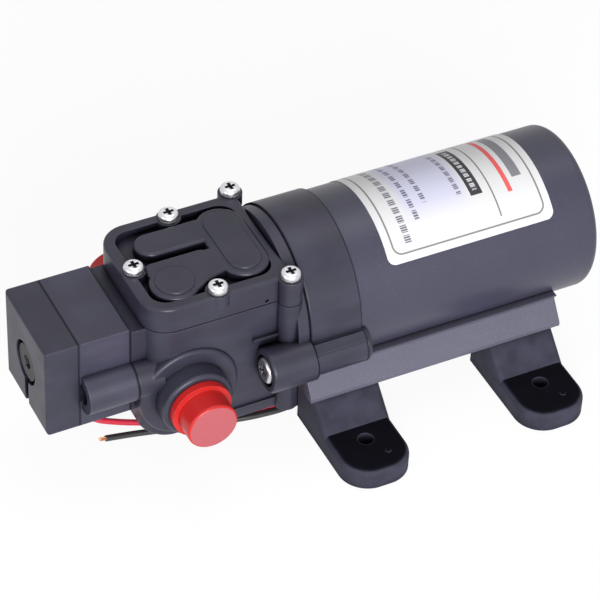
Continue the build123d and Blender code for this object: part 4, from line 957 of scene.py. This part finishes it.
class PUMP_OT_finish_inner(bpy.types.Operator):
    """Finish the pieces inside the motor, the drive and the valve head"""

    bl_idname = "pump.finish_inner"
    bl_label = "Inner pieces"

    def execute(self, context):
        steel = make_material("ground_steel", turned_metal, (0.6, 0.6, 0.62), rough=0.24)
        dress(
            steel,
            "motor_shaft",
            "front_bearing_inner_ring",
            "front_bearing_outer_ring",
            "front_bearing_balls",
            "cam_bearing_inner_ring",
            "cam_bearing_outer_ring",
            "cam_bearing_balls",
        )
        spring = make_material("spring_steel", turned_metal, (0.5, 0.5, 0.52), rough=0.3)
        dress(spring, "brush_spring_top", "brush_spring_bottom", "switch_spring")
        for name, joint, toward_end in (
            ("brush_spring_top", "brush_top_slide", 1),
            ("brush_spring_bottom", "brush_bottom_slide", -1),
        ):
            finish_piece(sprung_coil(name, joint), spring, "pump_body")
        dress(make_material("armature_steel", stacked_sheets, (0.5, 0.5, 0.52)), "armature_core")
        dress(make_material("copper_wire", wound_wire, (0.72, 0.26, 0.1)), "armature_winding")
        bars = make_material("commutator_copper", turned_metal, (0.8, 0.42, 0.25), rough=0.22)
        dress(bars, "commutator")
        brass = make_material("pressed_brass", turned_metal, (0.75, 0.55, 0.26), rough=0.3)
        dress(brass, "brush_holders")
        bronze = make_material("bush_bronze", sintered, (0.55, 0.36, 0.17), metallic=0.8)
        dress(bronze, "rear_bush")
        ferrite = make_material("magnet_ferrite", sintered, (0.06, 0.06, 0.065), metallic=0.0)
        dress(ferrite, "field_magnets")
        carbon = make_material("brush_carbon", sintered, (0.04, 0.04, 0.045), metallic=0.2)
        dress(carbon, "brush_top", "brush_bottom")
        board = make_material("brown_laminate", laminated_board, (0.3, 0.15, 0.06))
        dress(board, "brush_card", "commutator_hub")
        dress(make_material("cast_zinc", cast_metal, (0.6, 0.6, 0.62)), "eccentric_cam", "drive_yoke")
        acetal = make_material("white_acetal", pale_plastic, (0.82, 0.81, 0.77))
        dress(acetal, "cam_bearing_cage", "piston_front", "piston_back", "valve_plate")
        seal = make_material("seal_rubber", moulded_rubber, (0.02, 0.02, 0.022))
        dress(seal, "diaphragm", "cover_gasket", "switch_diaphragm")
        flap = make_material("valve_rubber", moulded_rubber, (0.35, 0.08, 0.05))
        dress(flap, "inlet_valve_front", "inlet_valve_back", "outlet_valve_front", "outlet_valve_back")
        return {"FINISHED"}


class PUMP_OT_set_stage(bpy.types.Operator):
    """Set the floor, the lamps, the white surround and the camera"""

    bl_idname = "pump.set_stage"
    bl_label = "Stage"

    def execute(self, context):
        make_floor()
        make_lamps()
        make_surround()
        make_camera()
        context.scene.view_settings.view_transform = "Standard"
        return {"FINISHED"}


# Stage


def seen_directly(start):
    """1 for camera, glossy and transmission rays, which see the white background."""
    rays = start.node("ShaderNodeLightPath").socket.node.outputs
    camera, glossy, through = (
        Field(start.tree, rays[name])
        for name in ("Is Camera Ray", "Is Glossy Ray", "Is Transmission Ray")
    )
    return camera.most(glossy).most(through)


def make_floor():
    """A wide white floor that keeps part of the object's shadow."""
    half = FLOOR_HALF
    mesh = bpy.data.meshes.new("floor")
    corners = [(-half, -half, 0), (half, -half, 0), (half, half, 0), (-half, half, 0)]
    mesh.from_pydata(corners, [], [(0, 1, 2, 3)])
    floor = bpy.data.objects.new("floor", mesh)
    bpy.context.collection.objects.link(floor)
    material = bpy.data.materials.new("floor_white")
    material.use_nodes = True
    tree = material.node_tree
    tree.nodes.clear()
    start = Field(tree)
    pale = start.node("ShaderNodeBsdfDiffuse", inputs={"Color": colour((0.9, 0.9, 0.9))})
    white = start.node("ShaderNodeEmission", inputs={"Color": colour((1, 1, 1)), "Strength": 1.0})
    factor = seen_directly(start) * FLOOR_WHITE_SHARE
    shader = start.node("ShaderNodeMixShader", inputs={0: factor, 1: pale, 2: white})
    start.node("ShaderNodeOutputMaterial", inputs={"Surface": shader})
    mesh.materials.append(material)


def aim(thing, target):
    """Turns a lamp so that it faces the target."""
    direction = Vector(target) - thing.location
    thing.rotation_euler = direction.to_track_quat("-Z", "Y").to_euler()


def make_lamps():
    """Square soft lamps: name, place in metres, side in metres and watts."""
    target = (-0.03, 0.0, 0.03)
    for name, where, size, power in (
        ("key_light", (-0.3, -1.0, 0.42), 0.5, 18.0),
        ("top_light", (0.1, 0.1, 0.95), 0.6, 2.6),
        ("end_light", (-0.95, -0.2, 0.35), 0.4, 1.7),
    ):
        light = bpy.data.lights.new(name, "AREA")
        light.shape = "SQUARE"
        light.size = size
        light.energy = power
        lamp = bpy.data.objects.new(name, light)
        lamp.location = where
        aim(lamp, target)
        bpy.context.collection.objects.link(lamp)


def make_surround():
    """White to the camera and in reflections, and weaker as light on the object."""
    world = bpy.data.worlds.new("surround")
    bpy.context.scene.world = world
    world.use_nodes = True
    tree = world.node_tree
    tree.nodes.clear()
    start = Field(tree)
    strength = SURROUND_LIGHT + seen_directly(start) * (1 - SURROUND_LIGHT)
    inputs = {"Color": colour((1, 1, 1)), "Strength": strength}
    sky = start.node("ShaderNodeBackground", inputs=inputs)
    start.node("ShaderNodeOutputWorld", inputs={"Surface": sky})


def make_camera():
    """Camera at target + distance * back, turned about its line of sight by roll."""
    azimuth, elevation, roll = (math.radians(angle) for angle in CAMERA_ANGLES)
    back = Vector(
        (
            math.sin(azimuth) * math.cos(elevation),
            -math.cos(azimuth) * math.cos(elevation),
            math.sin(elevation),
        )
    )
    level = Vector((0, 0, 1)).cross(back).normalized()
    upward = back.cross(level)
    right = level * math.cos(roll) + upward * math.sin(roll)
    top = upward * math.cos(roll) - level * math.sin(roll)
    data = bpy.data.cameras.new("photo_camera")
    data.lens = CAMERA_LENS
    data.sensor_width = 36.0
    data.clip_end = 10.0
    camera = bpy.data.objects.new("photo_camera", data)
    bpy.context.collection.objects.link(camera)
    turn = Matrix((right, top, back)).transposed().to_4x4()
    camera.matrix_world = Matrix.Translation(CAMERA_TARGET + back * CAMERA_DISTANCE) @ turn
    bpy.context.scene.camera = camera


class PUMP_PT_looks(bpy.types.Panel):
    """Lists the pump's finishing steps"""

    bl_label = "Pump looks"
    bl_idname = "PUMP_PT_looks"
    bl_space_type = "VIEW_3D"
    bl_region_type = "UI"
    bl_category = "Pump"

    def draw(self, context):
        for step in STEPS:
            self.layout.operator(step.bl_idname)
        for name in PumpLook.__annotations__:
            self.layout.prop(context.scene.pump_look, name)


STEPS = (
    PUMP_OT_set_stage,
    PUMP_OT_finish_motor,
    PUMP_OT_finish_head,
    PUMP_OT_finish_switch,
    PUMP_OT_finish_base,
    PUMP_OT_finish_leads,
    PUMP_OT_finish_inner,
)
CLASSES = (PumpLook, *STEPS, PUMP_PT_looks)


def register():
    for kind in CLASSES:
        bpy.utils.register_class(kind)
    bpy.types.Scene.pump_look = PointerProperty(type=PumpLook)


def unregister():
    del bpy.types.Scene.pump_look
    for kind in reversed(CLASSES):
        bpy.utils.unregister_class(kind)


def main():
    register()
    bpy.ops.pump.set_stage()
    bpy.ops.pump.finish_motor()
    bpy.ops.pump.finish_head()
    bpy.ops.pump.finish_switch()
    bpy.ops.pump.finish_base()
    bpy.ops.pump.finish_leads()
    bpy.ops.pump.finish_inner()


if __name__ == "__main__":
    main()
